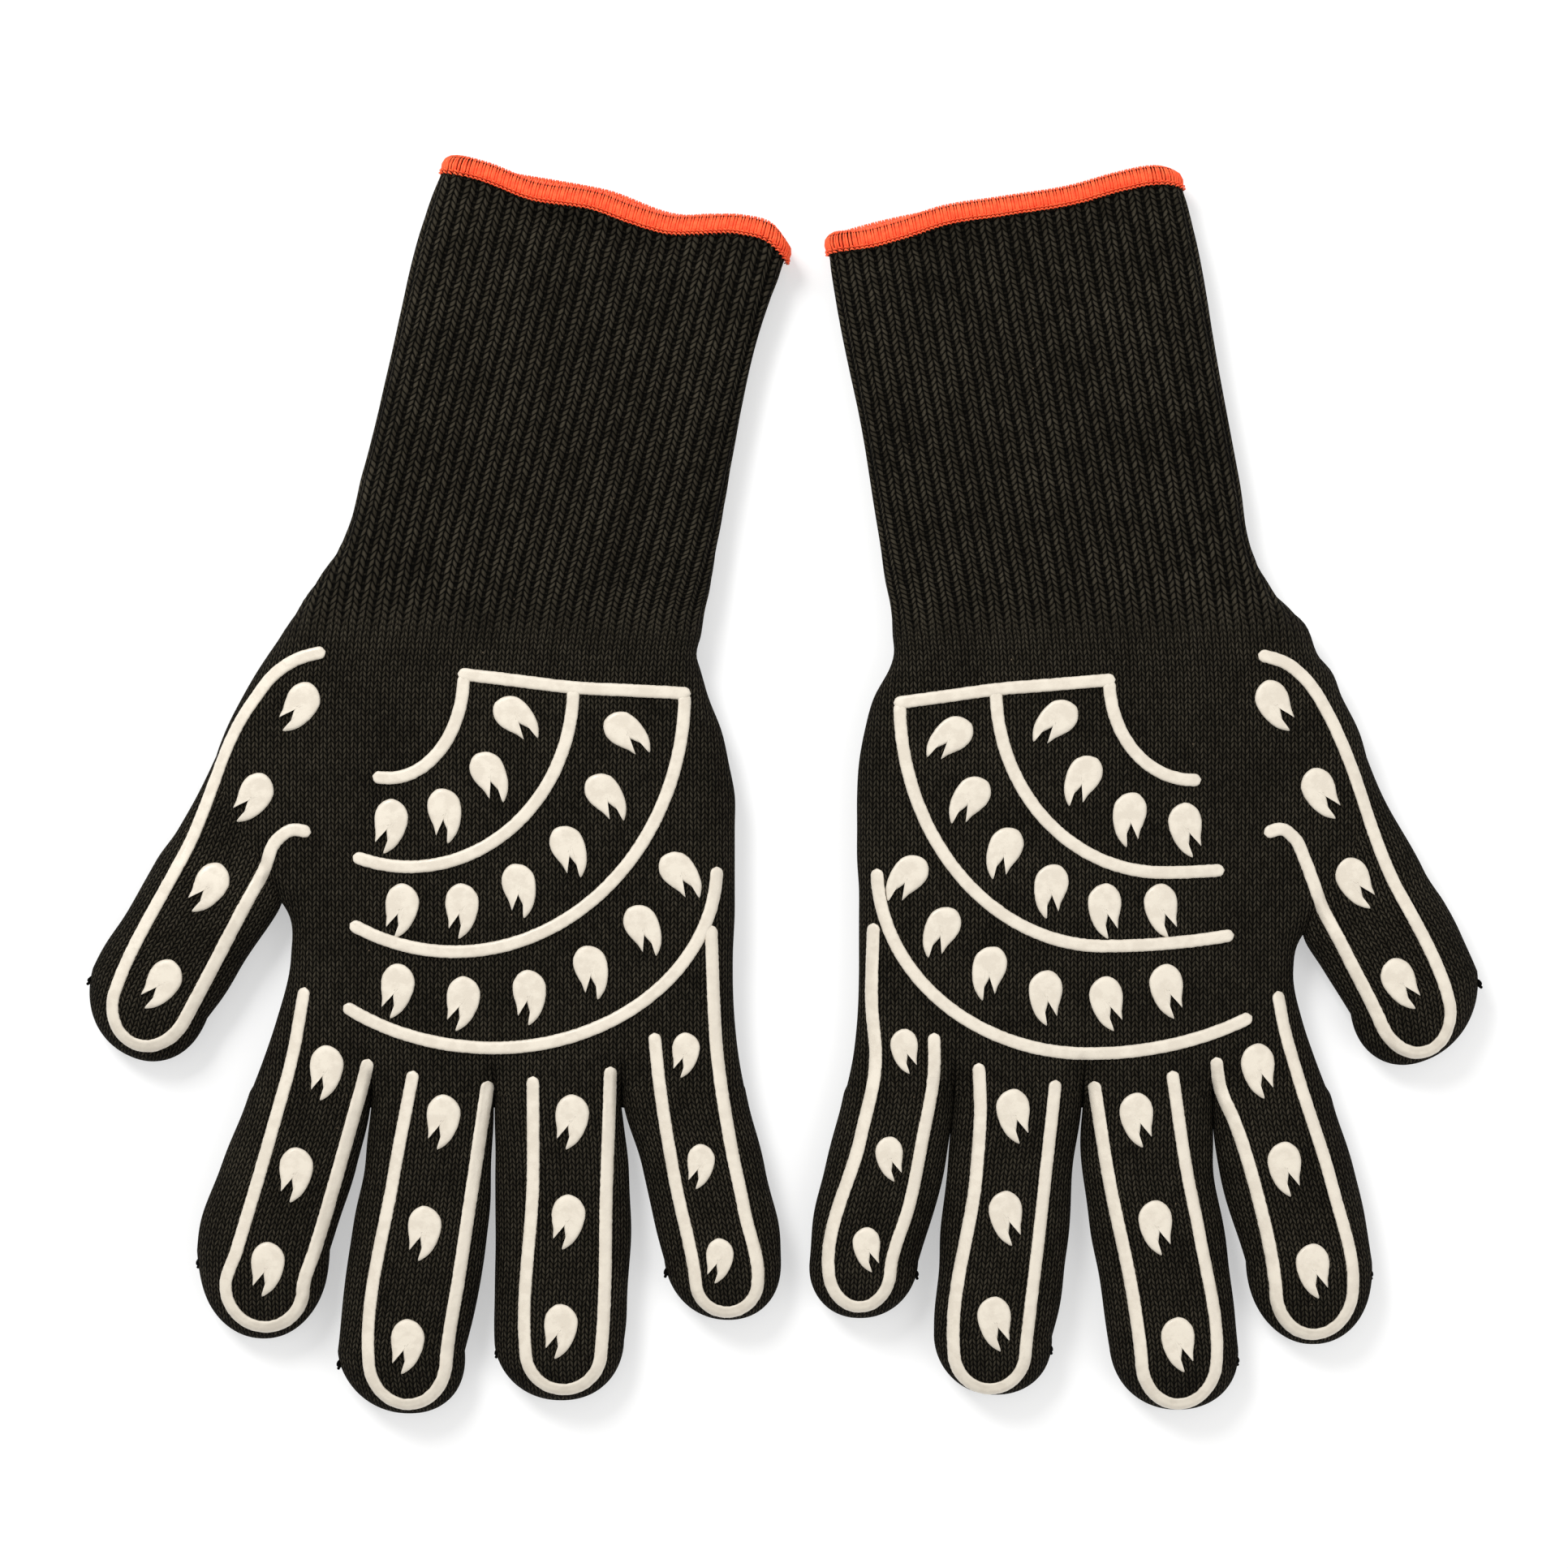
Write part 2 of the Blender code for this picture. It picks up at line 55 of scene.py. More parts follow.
# Outlines are in millimetres. Palm rows hold (along Y, west edge, east edge) from the wrist to the
# finger roots. Cuff rows hold (along Y, middle, half width, turn in degrees) from the wrist up.
# Digit rows hold (distance past the root crease, west edge, east edge) in the digit's own frame, and
# its line and flames are placed by (distance past the root crease, distance across).
# Mouth rows hold (share of the half width, how far the edging rises there). Arcs hold their middle, their
# radii across and along, the radius across past the top, and the degrees they run on past it.
rightGlove = {
    "name": "right", "mirror": 1, "indexRoot": (-126.3, -80.0),
    "palm": [(31.5, -140, -22.5), (23, -145, -20), (14, -149.5, -16.5), (5, -152.5, -14.5), (-3, -153, -13),
             (-12, -150.5, -13), (-20, -145, -13), (-28, -137.5, -13), (-34, -133, -13), (-46, -132, -13.5),
             (-63.5, -136, -13), (-72.5, -139, -12), (-88, -145, -9)],
    "cuff": [(33, -81, 58, 0), (41, -77.5, 55.5, -1), (49, -74, 53, -2.5), (57.5, -69.5, 50, -6),
             (75, -65, 48.5, -10), (101, -59.5, 47.5, -13), (135.5, -51.5, 47.5, -14.5),
             (155, -44.5, 47.5, -14.5)],
    "front": [(-1, 0.5), (-0.75, 0.5), (-0.5, -1), (-0.1, 0.5), (0.1, -0.5), (0.35, -0.5), (0.5, 1.5),
              (0.7, 4), (0.9, 3.5), (1, 0.5)],
    "back": [(-1, 0.5), (-0.65, 0.5), (-0.4, 1.5), (-0.1, 2.5), (0.4, 1.5), (0.5, 3), (0.75, 5), (0.9, 4),
             (1, 0.5)],
    "lean": 14.5, "fold": {"place": -0.12, "width": 0.42, "depth": 3.2},
    "arcs": {
        "inner": {"middle": (-105, 29), "radii": (20, 27.5), "farRadius": 20, "runOn": 12},
        "middle": {"middle": (-99.5, 25.5), "radii": (43.5, 47.5), "farRadius": 43.5, "runOn": 20},
        "outer": {"middle": (-87.5, 24), "radii": (61, 68.5), "farRadius": 61, "runOn": 27},
        "low": {"middle": (-77, -22), "radii": (59, 48), "farRadius": 62, "runOn": 40},
    },
    "digits": {
        "thumb": {"rows": [(-34, -16, 13), (-15, -16.5, 15), (0, -18, 17), (15, -19.5, 15), (30, -21.5, 12.5),
                           (38, -22, 11)],
                  "tip": 56, "tipMiddle": -4, "lean": 24,
                  "first": [(-64.5, 1), (-59.5, -5), (-54.5, -8.5), (-44, -11.5), (-2.5, -11.5), (39, -13.5)],
                  "second": [(39, 6.5), (10.5, 8.5), (-5.5, 9.5), (-13.5, 9.5), (-17.5, 12), (-19, 17)],
                  "turn": 51.5, "flames": [(-49, 1), (-22, -0.5), (4.5, -1.5), (33, -2.5)]},
        "index": {"rows": [(-6, -15, 15.5), (0, -16, 16), (22.5, -24.5, 12), (35.5, -29, 7.5),
                           (44.5, -30.5, 5)],
                  "tip": 68.5, "tipMiddle": -13, "lean": 0,
                  "first": [(-26, -1), (-6.5, -4.5), (10, -9), (44, -19), (53.5, -22)],
                  "second": [(53.5, -1.5), (44, 1.5), (18.5, 9), (-7, 16)],
                  "turn": 64.5, "flames": [(-4.5, 5), (22.5, -3), (47.5, -10.5)]},
        "middle": {"rows": [(-6, -15.5, 15.5), (0, -16, 16), (22.5, -18.5, 15.5), (35.5, -21, 15),
                            (53, -23.5, 12.5), (71.5, -25.5, 8.5)],
                   "tip": 88.5, "tipMiddle": -6.5, "lean": 0,
                   "first": [(-4, -4.5), (25, -10), (72.5, -16.5)],
                   "second": [(72.5, 4), (50, 7.5), (-1, 15)],
                   "turn": 85, "flames": [(8.5, 3.5), (38, -1.5), (68, -6)]},
        "ring": {"rows": [(-6, -16, 16), (0, -16.5, 16.5), (22.5, -16.5, 19), (44.5, -16.5, 19.5),
                          (61.5, -17, 18.5), (68.5, -16.5, 17.5)],
                 "tip": 85, "tipMiddle": 1, "lean": 0,
                 "first": [(-2.5, -6), (25, -6), (70.5, -8)],
                 "second": [(70.5, 12), (25, 13.5), (-5, 14.5)],
                 "turn": 81, "flames": [(8.5, 4.5), (35, 3.5), (64, 1.5)]},
        "little": {"rows": [(-6, -16, 16), (0, -16.5, 16.5), (22.5, -11, 22), (35.5, -8, 25), (47, -5, 26)],
                   "tip": 63.5, "tipMiddle": 12, "lean": 0,
                   "first": [(-14, -7.5), (0, -6), (25, -2), (52, 3.5)],
                   "second": [(52, 20), (33.5, 16.5), (14, 12.5), (-5.5, 9.5), (-42.5, 7.5)],
                   "turn": 60.5, "flames": [(-9, 1), (20.5, 5), (45.5, 10)]},
    },
}
leftGlove = {
    "name": "left", "mirror": -1, "indexRoot": (129.8, -80.0),
    "palm": [(31.5, 28, 145), (23, 23.5, 149), (14, 21, 153.5), (5.5, 19.5, 156), (-3, 19, 158.5),
             (-12, 19, 159), (-20, 19, 156.5), (-28, 19.5, 150.5), (-36, 19.5, 142), (-42, 19.5, 137.5),
             (-50, 19.5, 136), (-63.5, 19, 138.5), (-72.5, 18, 141.5), (-88, 14.5, 147.5)],
    "cuff": [(33, 86, 57.5, 0), (41, 84, 55.5, 1), (49, 79.5, 51.5, 2), (57.5, 76, 49.5, 4), (75, 73, 49, 7),
             (101, 68.5, 48.5, 9.5), (135.5, 62, 49, 11), (155, 58, 48, 11)],
    "front": [(-1, 0), (-0.8, -1), (-0.6, -0.5), (-0.35, 1), (0, 0.5), (0.4, 0), (0.65, 1), (0.85, 1),
              (0.95, 0), (1, -1)],
    "back": [(-1, 0), (-0.8, 1), (0, 1), (0.4, 0.5), (0.65, 1), (0.85, 1.5), (0.95, 0.5), (1, -1)],
    "lean": -10.5, "fold": {"place": -0.6, "width": 0.35, "depth": 1.3},
    "arcs": {
        "inner": {"middle": (108, 27.5), "radii": (22, 26.5), "farRadius": 22, "runOn": 6},
        "middle": {"middle": (100, 25), "radii": (44, 48.5), "farRadius": 100, "runOn": 9.5},
        "outer": {"middle": (84.5, 21.5), "radii": (54, 64.5), "farRadius": 115, "runOn": 17.5},
        "low": {"middle": (80.5, -22.5), "radii": (56, 49), "farRadius": 72, "runOn": 37},
    },
    "digits": {
        "thumb": {"rows": [(-46, -14, 13.5), (-27, -15.5, 14.5), (-8, -18, 18), (0, -19, 19),
                           (11.5, -16.5, 21), (25, -13.5, 22)],
                  "tip": 43.5, "tipMiddle": 1, "lean": -19,
                  "first": [(-74, -6.5), (-69, 0), (-63, 3.5), (-53, 6), (-43.5, 7), (-11, 7.5), (28, 11.5)],
                  "second": [(28, -7.5), (10, -10), (-4.5, -12), (-18.5, -12.5), (-24, -13), (-28, -15.5),
                             (-28.5, -20.5)],
                  "turn": 40.5, "flames": [(-60.5, -7), (-34.5, -3), (-9, -2), (20, 0.5)]},
        "index": {"rows": [(-6, -15, 15), (0, -15.5, 15.5), (22.5, -14, 22), (35.5, -10.5, 25),
                           (47.5, -7, 27)],
                  "tip": 70, "tipMiddle": 11.5, "lean": 0,
                  "first": [(-7.5, -15.5), (1, -14), (9.5, -10.5), (27, -5), (54, 0.5)],
                  "second": [(54, 21), (27, 15.5), (-3.5, 6), (-16.5, 2.5), (-25, 1)],
                  "turn": 66.5, "flames": [(-5, -4.5), (21, 2.5), (48, 10)]},
        "middle": {"rows": [(-6, -16.5, 16.5), (0, -17, 17), (22.5, -18, 17.5), (35.5, -16, 19.5),
                            (53, -13, 22), (70.5, -10.5, 24)],
                   "tip": 87.5, "tipMiddle": 8, "lean": 0,
                   "first": [(-1, -15), (22.5, -11.5), (57.5, -4.5), (72.5, -2.5)],
                   "second": [(72.5, 17.5), (40, 13), (22.5, 9.5), (-4, 5.5)],
                   "turn": 85, "flames": [(8, -4), (36.5, 1), (67.5, 7)]},
        "ring": {"rows": [(-6, -16.5, 16.5), (0, -17, 17), (27, -19.5, 14), (44.5, -21, 13),
                          (61.5, -22.5, 10.5), (67.5, -22.5, 9)],
                 "tip": 83.5, "tipMiddle": -6, "lean": 0,
                 "first": [(-6, -11), (5.5, -10.5), (22.5, -11.5), (70.5, -17.5)],
                 "second": [(70.5, 1.5), (40, 5), (-1.5, 9.5)],
                 "turn": 81, "flames": [(7, -2), (34, -4), (62, -7)]},
        "little": {"rows": [(-6, -14, 14), (0, -14.5, 14.5), (22.5, -20, 12), (35.5, -23, 9), (47.5, -24, 5)],
                   "tip": 63, "tipMiddle": -10.5, "lean": 0,
                   "first": [(-43, -7), (-22, -7.5), (-6, -6.5), (14, -10.5), (48.5, -19)],
                   "second": [(48.5, -2.5), (31.5, 2.5), (14, 6), (-3.5, 9), (-14, 9)],
                   "turn": 59, "flames": [(-10, 1), (18.5, -3), (42.5, -9)]},
    },
}
gloves = (rightGlove, leftGlove)

skinSettings = {
    "thickness": 15.0, "wall": 2.2, "sideRadius": 9.5, "underRadius": 6.0, "fingerRadius": 13.0, "crown": 0.9,
    "rowStep": 1.5, "fingerRowStep": 1.2, "unevenness": 0.45, "unevenSize": 26.0, "waist": 33.5,
    "palmEnd": -87.0, "tuckFrom": -80.0, "mouthThickness": 13.0, "puckers": 0.35, "wristReach": 10.5,
    "sidePoints": 12, "palmLift": 0.9, "mouthSideRadius": 7.5, "tuckAcross": 2.2, "tuckDown": 1.2,
    "inset": 0.3,
}
linerSettings = {"gap": 0.35, "depth": 1.5, "every": 3, "palmRows": 66, "column": 1.6}
digitSettings = {
    "thumbSplit": 0.55, "fingerSplit": 0.62, "capRows": 26, "topPoints": 24, "tipHeight": 4.2, "tipLift": 4.0,
    "thumbReach": 11.0, "fingerReach": 17.0, "longReach": 9.5, "shortReach": 8.0, "longFrom": 27.0,
}
cuffSettings = {
    "ribPitch": 4.04, "flatPoints": 190, "ribDepth": 0.34, "rowStep": 1.35, "ribStart": 33.0, "ribEnd": 52.0,
    "foldBelow": 8.5, "foldSpread": 2.6, "foldAll": 0.4, "waveReach": 32.0,
}
lineSettings = {
    "halfWidth": 1.75, "height": 0.85, "sunk": 0.35, "step": 0.55, "ragged": 0.07, "span": 6, "overrun": 1.6,
    "across": (-1.0, -0.93, -0.74, -0.4, 0.0, 0.4, 0.74, 0.93, 1.0),
    "profile": (0.5, 0.8, 0.86, 0.82, 0.86, 0.8, 0.5),
}
flameSettings = {
    "length": 12.6, "width": 10.0, "sunk": 0.35, "around": 60, "ragged": 0.05,
    "outline": [(-0.50, 0.00), (-0.45, -0.22), (-0.31, -0.39), (-0.12, -0.46), (0.08, -0.45), (0.25, -0.42),
                (0.45, -0.42), (0.26, -0.29), (0.12, -0.16), (0.31, -0.11), (0.48, -0.10), (0.68, -0.19),
                (0.59, 0.03), (0.45, 0.20), (0.25, 0.34), (0.02, 0.43), (-0.20, 0.43), (-0.40, 0.27)],
    "heart": (-0.05, 0.10), "littleSize": 0.82,
    "levels": [(0.04, 0.45), (0.13, 0.76), (0.3, 0.84), (0.55, 0.82), (0.8, 0.84)],
}
edgingSettings = {
    "spacing": 0.64, "threadRadius": 0.36, "depth": 4.3, "inside": 3.8, "over": 1.6, "seed": 5,
    "chainSpacing": 1.2, "chainRadius": 0.27, "chainDrop": 0.72, "chainLean": 0.06, "threadSides": 6,
    "chainSides": 5, "bundlePull": -0.09,
}
yarnSettings = {"past": 3.0, "turns": 2, "steps": 8, "sides": 6, "radius": 0.42, "height": 7.6, "loop": 0.9}
flameBands = [
    {"between": ("inner", "middle"), "first": 14.0, "step": 26.5, "count": 4},
    {"between": ("middle", "outer"), "first": 10.6, "step": 17.6, "count": 6},
    {"between": ("outer", "low"), "first": 24.7, "step": 17.0, "count": 6},
]


# Materials

def feed(tree, socket, value):
    if isinstance(value, bpy.types.NodeSocket):
        tree.links.new(value, socket)
    else:
        socket.default_value = value


def addNode(tree, kind, inputs=None, **settings):
    node = tree.nodes.new(kind)
    for name, value in settings.items():
        setattr(node, name, value)
    for key, value in (inputs or {}).items():
        feed(tree, node.inputs[key], value)
    return node


def mathNode(tree, operation, *values, clamp=False):
    node = tree.nodes.new("ShaderNodeMath")
    node.operation = operation
    node.use_clamp = clamp
    for socket, value in zip(node.inputs, values):
        feed(tree, socket, value)
    return node.outputs[0]


def newGroup(name, inputs, outputs):
    group = bpy.data.node_groups.new(name, "ShaderNodeTree")
    for socketName, kind, value in inputs:
        socket = group.interface.new_socket(socketName, in_out="INPUT", socket_type=kind)
        if value is not None:
            socket.default_value = value
    for socketName, kind in outputs:
        group.interface.new_socket(socketName, in_out="OUTPUT", socket_type=kind)
    return group, group.nodes.new("NodeGroupInput").outputs, group.nodes.new("NodeGroupOutput").inputs


stitchShape = {"round": 2.2, "ends": 2.6, "plump": 0.75, "twistAlong": 5.5, "twistAcross": 6.5,
               "twistDepth": 0.09, "backHeight": 0.22, "backShade": 0.5}


def makeKnitGroup():
    # Columns of slanted stitch legs that meet towards the cuff, with hollows between them.
    number, shape = "NodeSocketFloat", stitchShape
    group, given, result = newGroup(
        "knit stitches",
        [("Place", "NodeSocketVector", None), ("Wale", number, 2.0), ("Course", number, 1.4),
         ("Yarn Share", number, 1.0), ("Lean", number, 0.75), ("Unevenness", number, 0.25)],
        [("Height", number), ("Variation", number), ("Yarn", number)])

    def calc(operation, *values, clamp=False):
        return mathNode(group, operation, *values, clamp=clamp)

    wander = addNode(group, "ShaderNodeTexNoise", {"Vector": given["Place"], "Scale": 0.35, "Detail": 2.0})
    centred = addNode(group, "ShaderNodeVectorMath", {0: wander.outputs["Color"], 1: (0.5, 0.5, 0.5)},
                      operation="SUBTRACT")
    pushed = addNode(group, "ShaderNodeVectorMath", {0: centred.outputs[0], "Scale": given["Unevenness"]},
                     operation="SCALE")
    doubled = addNode(group, "ShaderNodeVectorMath", {0: pushed.outputs[0], "Scale": 4.0}, operation="SCALE")
    place = addNode(group, "ShaderNodeVectorMath", {0: given["Place"], 1: doubled.outputs[0]},
                    operation="ADD")
    parts = addNode(group, "ShaderNodeSeparateXYZ", {0: place.outputs[0]}).outputs
    wale = calc("DIVIDE", parts["X"], given["Wale"])
    course = calc("DIVIDE", parts["Y"], given["Course"])
    fromMiddle = calc("SUBTRACT", calc("FRACT", wale), 0.5)
    side = calc("SIGN", fromMiddle)
    across = calc("DIVIDE", calc("MULTIPLY", calc("ABSOLUTE", fromMiddle), 2.0), given["Yarn Share"])
    legSide = calc("SUBTRACT", calc("MULTIPLY", across, 2.0), 1.0)
    climb = calc("ADD", course, calc("MULTIPLY", across, given["Lean"]))
    along = calc("SUBTRACT", calc("MULTIPLY", calc("FRACT", climb), 2.0), 1.0)
    roundness = calc("SUBTRACT", 1.0, calc("POWER", calc("ABSOLUTE", legSide), shape["round"]), clamp=True)
    ends = calc("SUBTRACT", 1.0, calc("POWER", calc("ABSOLUTE", along), shape["ends"]), clamp=True)
    leg = calc("POWER", calc("MULTIPLY", roundness, ends), shape["plump"])
    twistPhase = calc("ADD", calc("MULTIPLY", along, shape["twistAlong"]),
                      calc("MULTIPLY", calc("MULTIPLY", legSide, side), shape["twistAcross"]))
    twist = calc("MULTIPLY", calc("SINE", twistPhase), shape["twistDepth"])
    legTwisted = calc("MULTIPLY", leg, calc("ADD", twist, 1.0))
    rowSwing = calc("SUBTRACT", calc("MULTIPLY", calc("FRACT", course), 2.0), 1.0)
    backRow = calc("SUBTRACT", 1.0, calc("ABSOLUTE", rowSwing))
    inYarn = calc("LESS_THAN", across, 1.0)
    hollow = calc("MULTIPLY", calc("SUBTRACT", 1.0, inYarn), calc("MULTIPLY", backRow, shape["backHeight"]))
    height = calc("ADD", calc("MULTIPLY", legTwisted, inYarn), hollow)
    cell = addNode(group, "ShaderNodeCombineXYZ",
                   {"X": calc("FLOOR", wale), "Y": calc("FLOOR", climb), "Z": side})
    chance = addNode(group, "ShaderNodeTexWhiteNoise", {"Vector": cell.outputs[0]}, noise_dimensions="3D")
    group.links.new(height, result["Height"])
    group.links.new(chance.outputs["Value"], result["Variation"])
    # The Yarn output tells where the yarn colour shows. It falls to 0 in the hollows, which get the gap
    # colour as painted shade, and fades at each leg's edges and ends as painted shade on the rounded yarn.
    # The back row in the hollows shows at backShade share, painted shade on the recessed row.
    shadedBackRow = calc("MULTIPLY", calc("SUBTRACT", 1.0, inYarn), calc("MULTIPLY", backRow, shape["backShade"]))
    group.links.new(calc("ADD", calc("MULTIPLY", leg, inYarn), shadedBackRow), result["Yarn"])
    return group


def makeMottleGroup():
    number = "NodeSocketFloat"
    group, given, result = newGroup(
        "mottle", [("Place", "NodeSocketVector", None), ("Size", number, 300.0), ("From", number, 0.4),
                   ("To", number, 0.6)], [("Value", number)])
    clouds = addNode(group, "ShaderNodeTexNoise",
                     {"Vector": given["Place"], "Scale": given["Size"], "Detail": 4.0, "Roughness": 0.6})
    spread = addNode(group, "ShaderNodeMapRange", {"Value": clouds.outputs["Fac"], "From Min": given["From"],
                                                   "From Max": given["To"]})
    group.links.new(spread.outputs["Result"], result["Value"])
    return group


knitGroup = makeKnitGroup()
mottleGroup = makeMottleGroup()


def newMaterial(name):
    material = bpy.data.materials.new(name)
    material.use_nodes = True
    return material, material.node_tree, material.node_tree.nodes["Principled BSDF"]


def placeGroup(tree, group, inputs):
    return addNode(tree, "ShaderNodeGroup", inputs, node_tree=group).outputs


def mixColours(tree, share, first, second):
    return addNode(tree, "ShaderNodeMix", {0: share, 6: first, 7: second}, data_type="RGBA").outputs[2]


def makeKnitMaterial(name, plain, ribbed, colours, depth):
    # Plain stitches, which turn into ribs where the mesh says so.
    material, tree, shader = newMaterial(name)
    place = addNode(tree, "ShaderNodeUVMap", uv_map="knit").outputs[0]
    objectPlace = addNode(tree, "ShaderNodeTexCoord").outputs["Object"]
    looks = [placeGroup(tree, knitGroup, {"Place": place, **values}) for values in (plain, ribbed)]
    share = addNode(tree, "ShaderNodeAttribute", attribute_name="ribs").outputs["Fac"]
    mixed = {}
    for key in ("Height", "Variation", "Yarn"):
        chosen = addNode(tree, "ShaderNodeMix", {0: share, 2: looks[0][key], 3: looks[1][key]})
        mixed[key] = chosen.outputs[0]
    wear = placeGroup(tree, mottleGroup, {"Place": objectPlace, "Size": 60.0, "From": 0.35, "To": 0.7})
    fibres = addNode(tree, "ShaderNodeTexNoise", {"Vector": objectPlace, "Scale": 2600.0, "Detail": 3.0})
    tone = mathNode(tree, "MULTIPLY_ADD", mixed["Variation"], 0.5,
                    mathNode(tree, "MULTIPLY", wear["Value"], 0.35), clamp=True)
    yarn = mixColours(tree, tone, colours["yarn"], colours["bright"])
    fibreShare = mathNode(tree, "MULTIPLY_ADD", fibres.outputs["Fac"], 1.1, 0.4)
    litYarn = addNode(tree, "ShaderNodeMix", {0: 0.6, 6: yarn, 7: fibreShare}, data_type="RGBA",
                      blend_type="MULTIPLY")
    # Painted shade: away from the middles of the legs the colour goes to the near-black gap colour, which
    # stands in for the shade in the hollows between stitches.
    yarnOverGapShade = addNode(tree, "ShaderNodeMapRange", {"Value": mixed["Yarn"], "From Min": 0.3, "From Max": 0.9})
    cloth = mixColours(tree, yarnOverGapShade.outputs["Result"], colours["gap"], litYarn.outputs[2])
    lint = addNode(tree, "ShaderNodeTexVoronoi", {"Vector": objectPlace, "Scale": 95.0})
    speck = addNode(tree, "ShaderNodeMapRange", {"Value": lint.outputs["Distance"], "From Min": 0.026,
                                                 "From Max": 0.015})
    lintShare = mathNode(tree, "MULTIPLY", speck.outputs["Result"], colours["lintShare"])
    colour = mixColours(tree, lintShare, cloth, colours["lint"])
    tree.links.new(colour, shader.inputs["Base Color"])
    shader.inputs["Roughness"].default_value = 0.9
    shader.inputs["Specular IOR Level"].default_value = 0.04
    surface = mathNode(tree, "MULTIPLY_ADD", fibres.outputs["Fac"], 0.16, mixed["Height"])
    bump = addNode(tree, "ShaderNodeBump", {"Height": surface, "Strength": 1.0, "Distance": depth})
    tree.links.new(bump.outputs[0], shader.inputs["Normal"])
    return material


def makeSiliconeMaterial():
    material, tree, shader = newMaterial("cream silicone")
    place = addNode(tree, "ShaderNodeTexCoord").outputs["Object"]
    patches = placeGroup(tree, mottleGroup, {"Place": place, "Size": 300.0, "From": 0.42, "To": 0.58})
    grain = placeGroup(tree, mottleGroup, {"Place": place, "Size": 2600.0, "From": 0.3, "To": 0.7})
    colour = mixColours(tree, patches["Value"], (0.645, 0.58, 0.482, 1), (0.705, 0.64, 0.535, 1))
    fine = mixColours(tree, mathNode(tree, "MULTIPLY", grain["Value"], 0.15), colour, (0.80, 0.74, 0.64, 1))
    tree.links.new(fine, shader.inputs["Base Color"])
    rough = mathNode(tree, "MULTIPLY_ADD", patches["Value"], 0.2, 0.3)
    tree.links.new(rough, shader.inputs["Roughness"])
    shader.inputs["Specular IOR Level"].default_value = 0.45
    surface = mathNode(tree, "MULTIPLY_ADD", grain["Value"], 0.25, patches["Value"])
    bump = addNode(tree, "ShaderNodeBump", {"Height": surface, "Strength": 0.35, "Distance": 0.0001})
    tree.links.new(bump.outputs[0], shader.inputs["Normal"])
    return material


def makeThreadMaterial(name, colour, deep):
    material, tree, shader = newMaterial(name)
    place = addNode(tree, "ShaderNodeTexCoord").outputs["Object"]
    tone = placeGroup(tree, mottleGroup, {"Place": place, "Size": 700.0, "From": 0.35, "To": 0.65})
    # The darker deep colour stands in for the shaded bottoms of the threads: painted shade, spread by a noise
    # mottle rather than placed by the threads' shape.
    tree.links.new(mixColours(tree, tone["Value"], deep, colour), shader.inputs["Base Color"])
    shader.inputs["Roughness"].default_value = 0.62
    shader.inputs["Specular IOR Level"].default_value = 0.12
    fibres = addNode(tree, "ShaderNodeTexNoise", {"Vector": place, "Scale": 3800.0, "Detail": 2.0})
    bump = addNode(tree, "ShaderNodeBump",
                   {"Height": fibres.outputs["Fac"], "Strength": 0.5, "Distance": 0.00012})
    tree.links.new(bump.outputs[0], shader.inputs["Normal"])
    return material


plainStitches = {"Wale": 2.02, "Course": 1.45, "Yarn Share": 0.96, "Lean": 0.85, "Unevenness": 0.16}
ribStitches = {"Wale": 4.04, "Course": 1.57, "Yarn Share": 0.84, "Lean": 0.95, "Unevenness": 0.24}
linerStitches = {"Wale": 1.3, "Course": 1.0, "Yarn Share": 1.0, "Lean": 0.8, "Unevenness": 0.12}
# The gap colours are painted shade for the hollows between stitches.
knit = makeKnitMaterial("black aramid knit", plainStitches, ribStitches,
                        {"gap": (0.0012, 0.0010, 0.0007, 1), "yarn": (0.0180, 0.0150, 0.0100, 1),
                         "bright": (0.062, 0.053, 0.037, 1), "lint": (0.25, 0.19, 0.13, 1), "lintShare": 0.5},
                        0.0006)
linerKnit = makeKnitMaterial("grey cotton liner", linerStitches, linerStitches,
                             {"gap": (0.05, 0.048, 0.044, 1), "yarn": (0.16, 0.152, 0.14, 1),
                              "bright": (0.24, 0.23, 0.21, 1), "lint": (0.25, 0.24, 0.22, 1),
                              "lintShare": 0.2}, 0.0002)
silicone = makeSiliconeMaterial()
# The second, darker colour of each thread material is painted shade, mixed in at random.
edgingThread = makeThreadMaterial("orange edging thread", (1.0, 0.150, 0.052, 1), (0.90, 0.088, 0.032, 1))
# The fold under the threads is a dark red sheet. Its red is the thread's own colour, and its darkness is
# painted shade for the slits between thread bundles.
shadedEdgingCore = makeThreadMaterial("edging fold with painted shade", (0.42, 0.022, 0.01, 1), (0.10, 0.006, 0.004, 1))
print("materials made")


# Shared shape helpers

def smoothValues(at, values, wanted):
    # A smooth curve through a few points, as values at the wanted places.
    at, values, wanted = (np.asarray(item, float) for item in (at, values, wanted))
    order = np.argsort(at)
    at, values = at[order], values[order]
    slopes = np.gradient(values, at)
    k = np.clip(np.searchsorted(at, wanted) - 1, 0, len(at) - 2)
    step = at[k + 1] - at[k]
    t = np.clip((wanted - at[k]) / step, 0, 1)
    a, b = values[k], values[k + 1]
    return ((2 * t**3 - 3 * t**2 + 1) * a + (t**3 - 2 * t**2 + t) * step * slopes[k]
            + (3 * t**2 - 2 * t**3) * b + (t**3 - t**2) * step * slopes[k + 1])


def smoothStep(low, high, value):
    t = np.clip((np.asarray(value, float) - low) / (high - low), 0, 1)
    return t * t * (3 - 2 * t)


def softNoise(x, y, seed):
    # Slow waves that read as the unevenness of a soft shell.
    slow = np.sin(x * 0.9 + 1.7 * np.sin(y * 0.7 + seed))
    crossing = np.sin(y * 1.1 + 1.3 * np.sin(x * 0.8 + 2 * seed))
    return (slow + crossing + 0.6 * np.sin(x * 1.9 - y * 1.4 + 3 * seed)) / 2.6


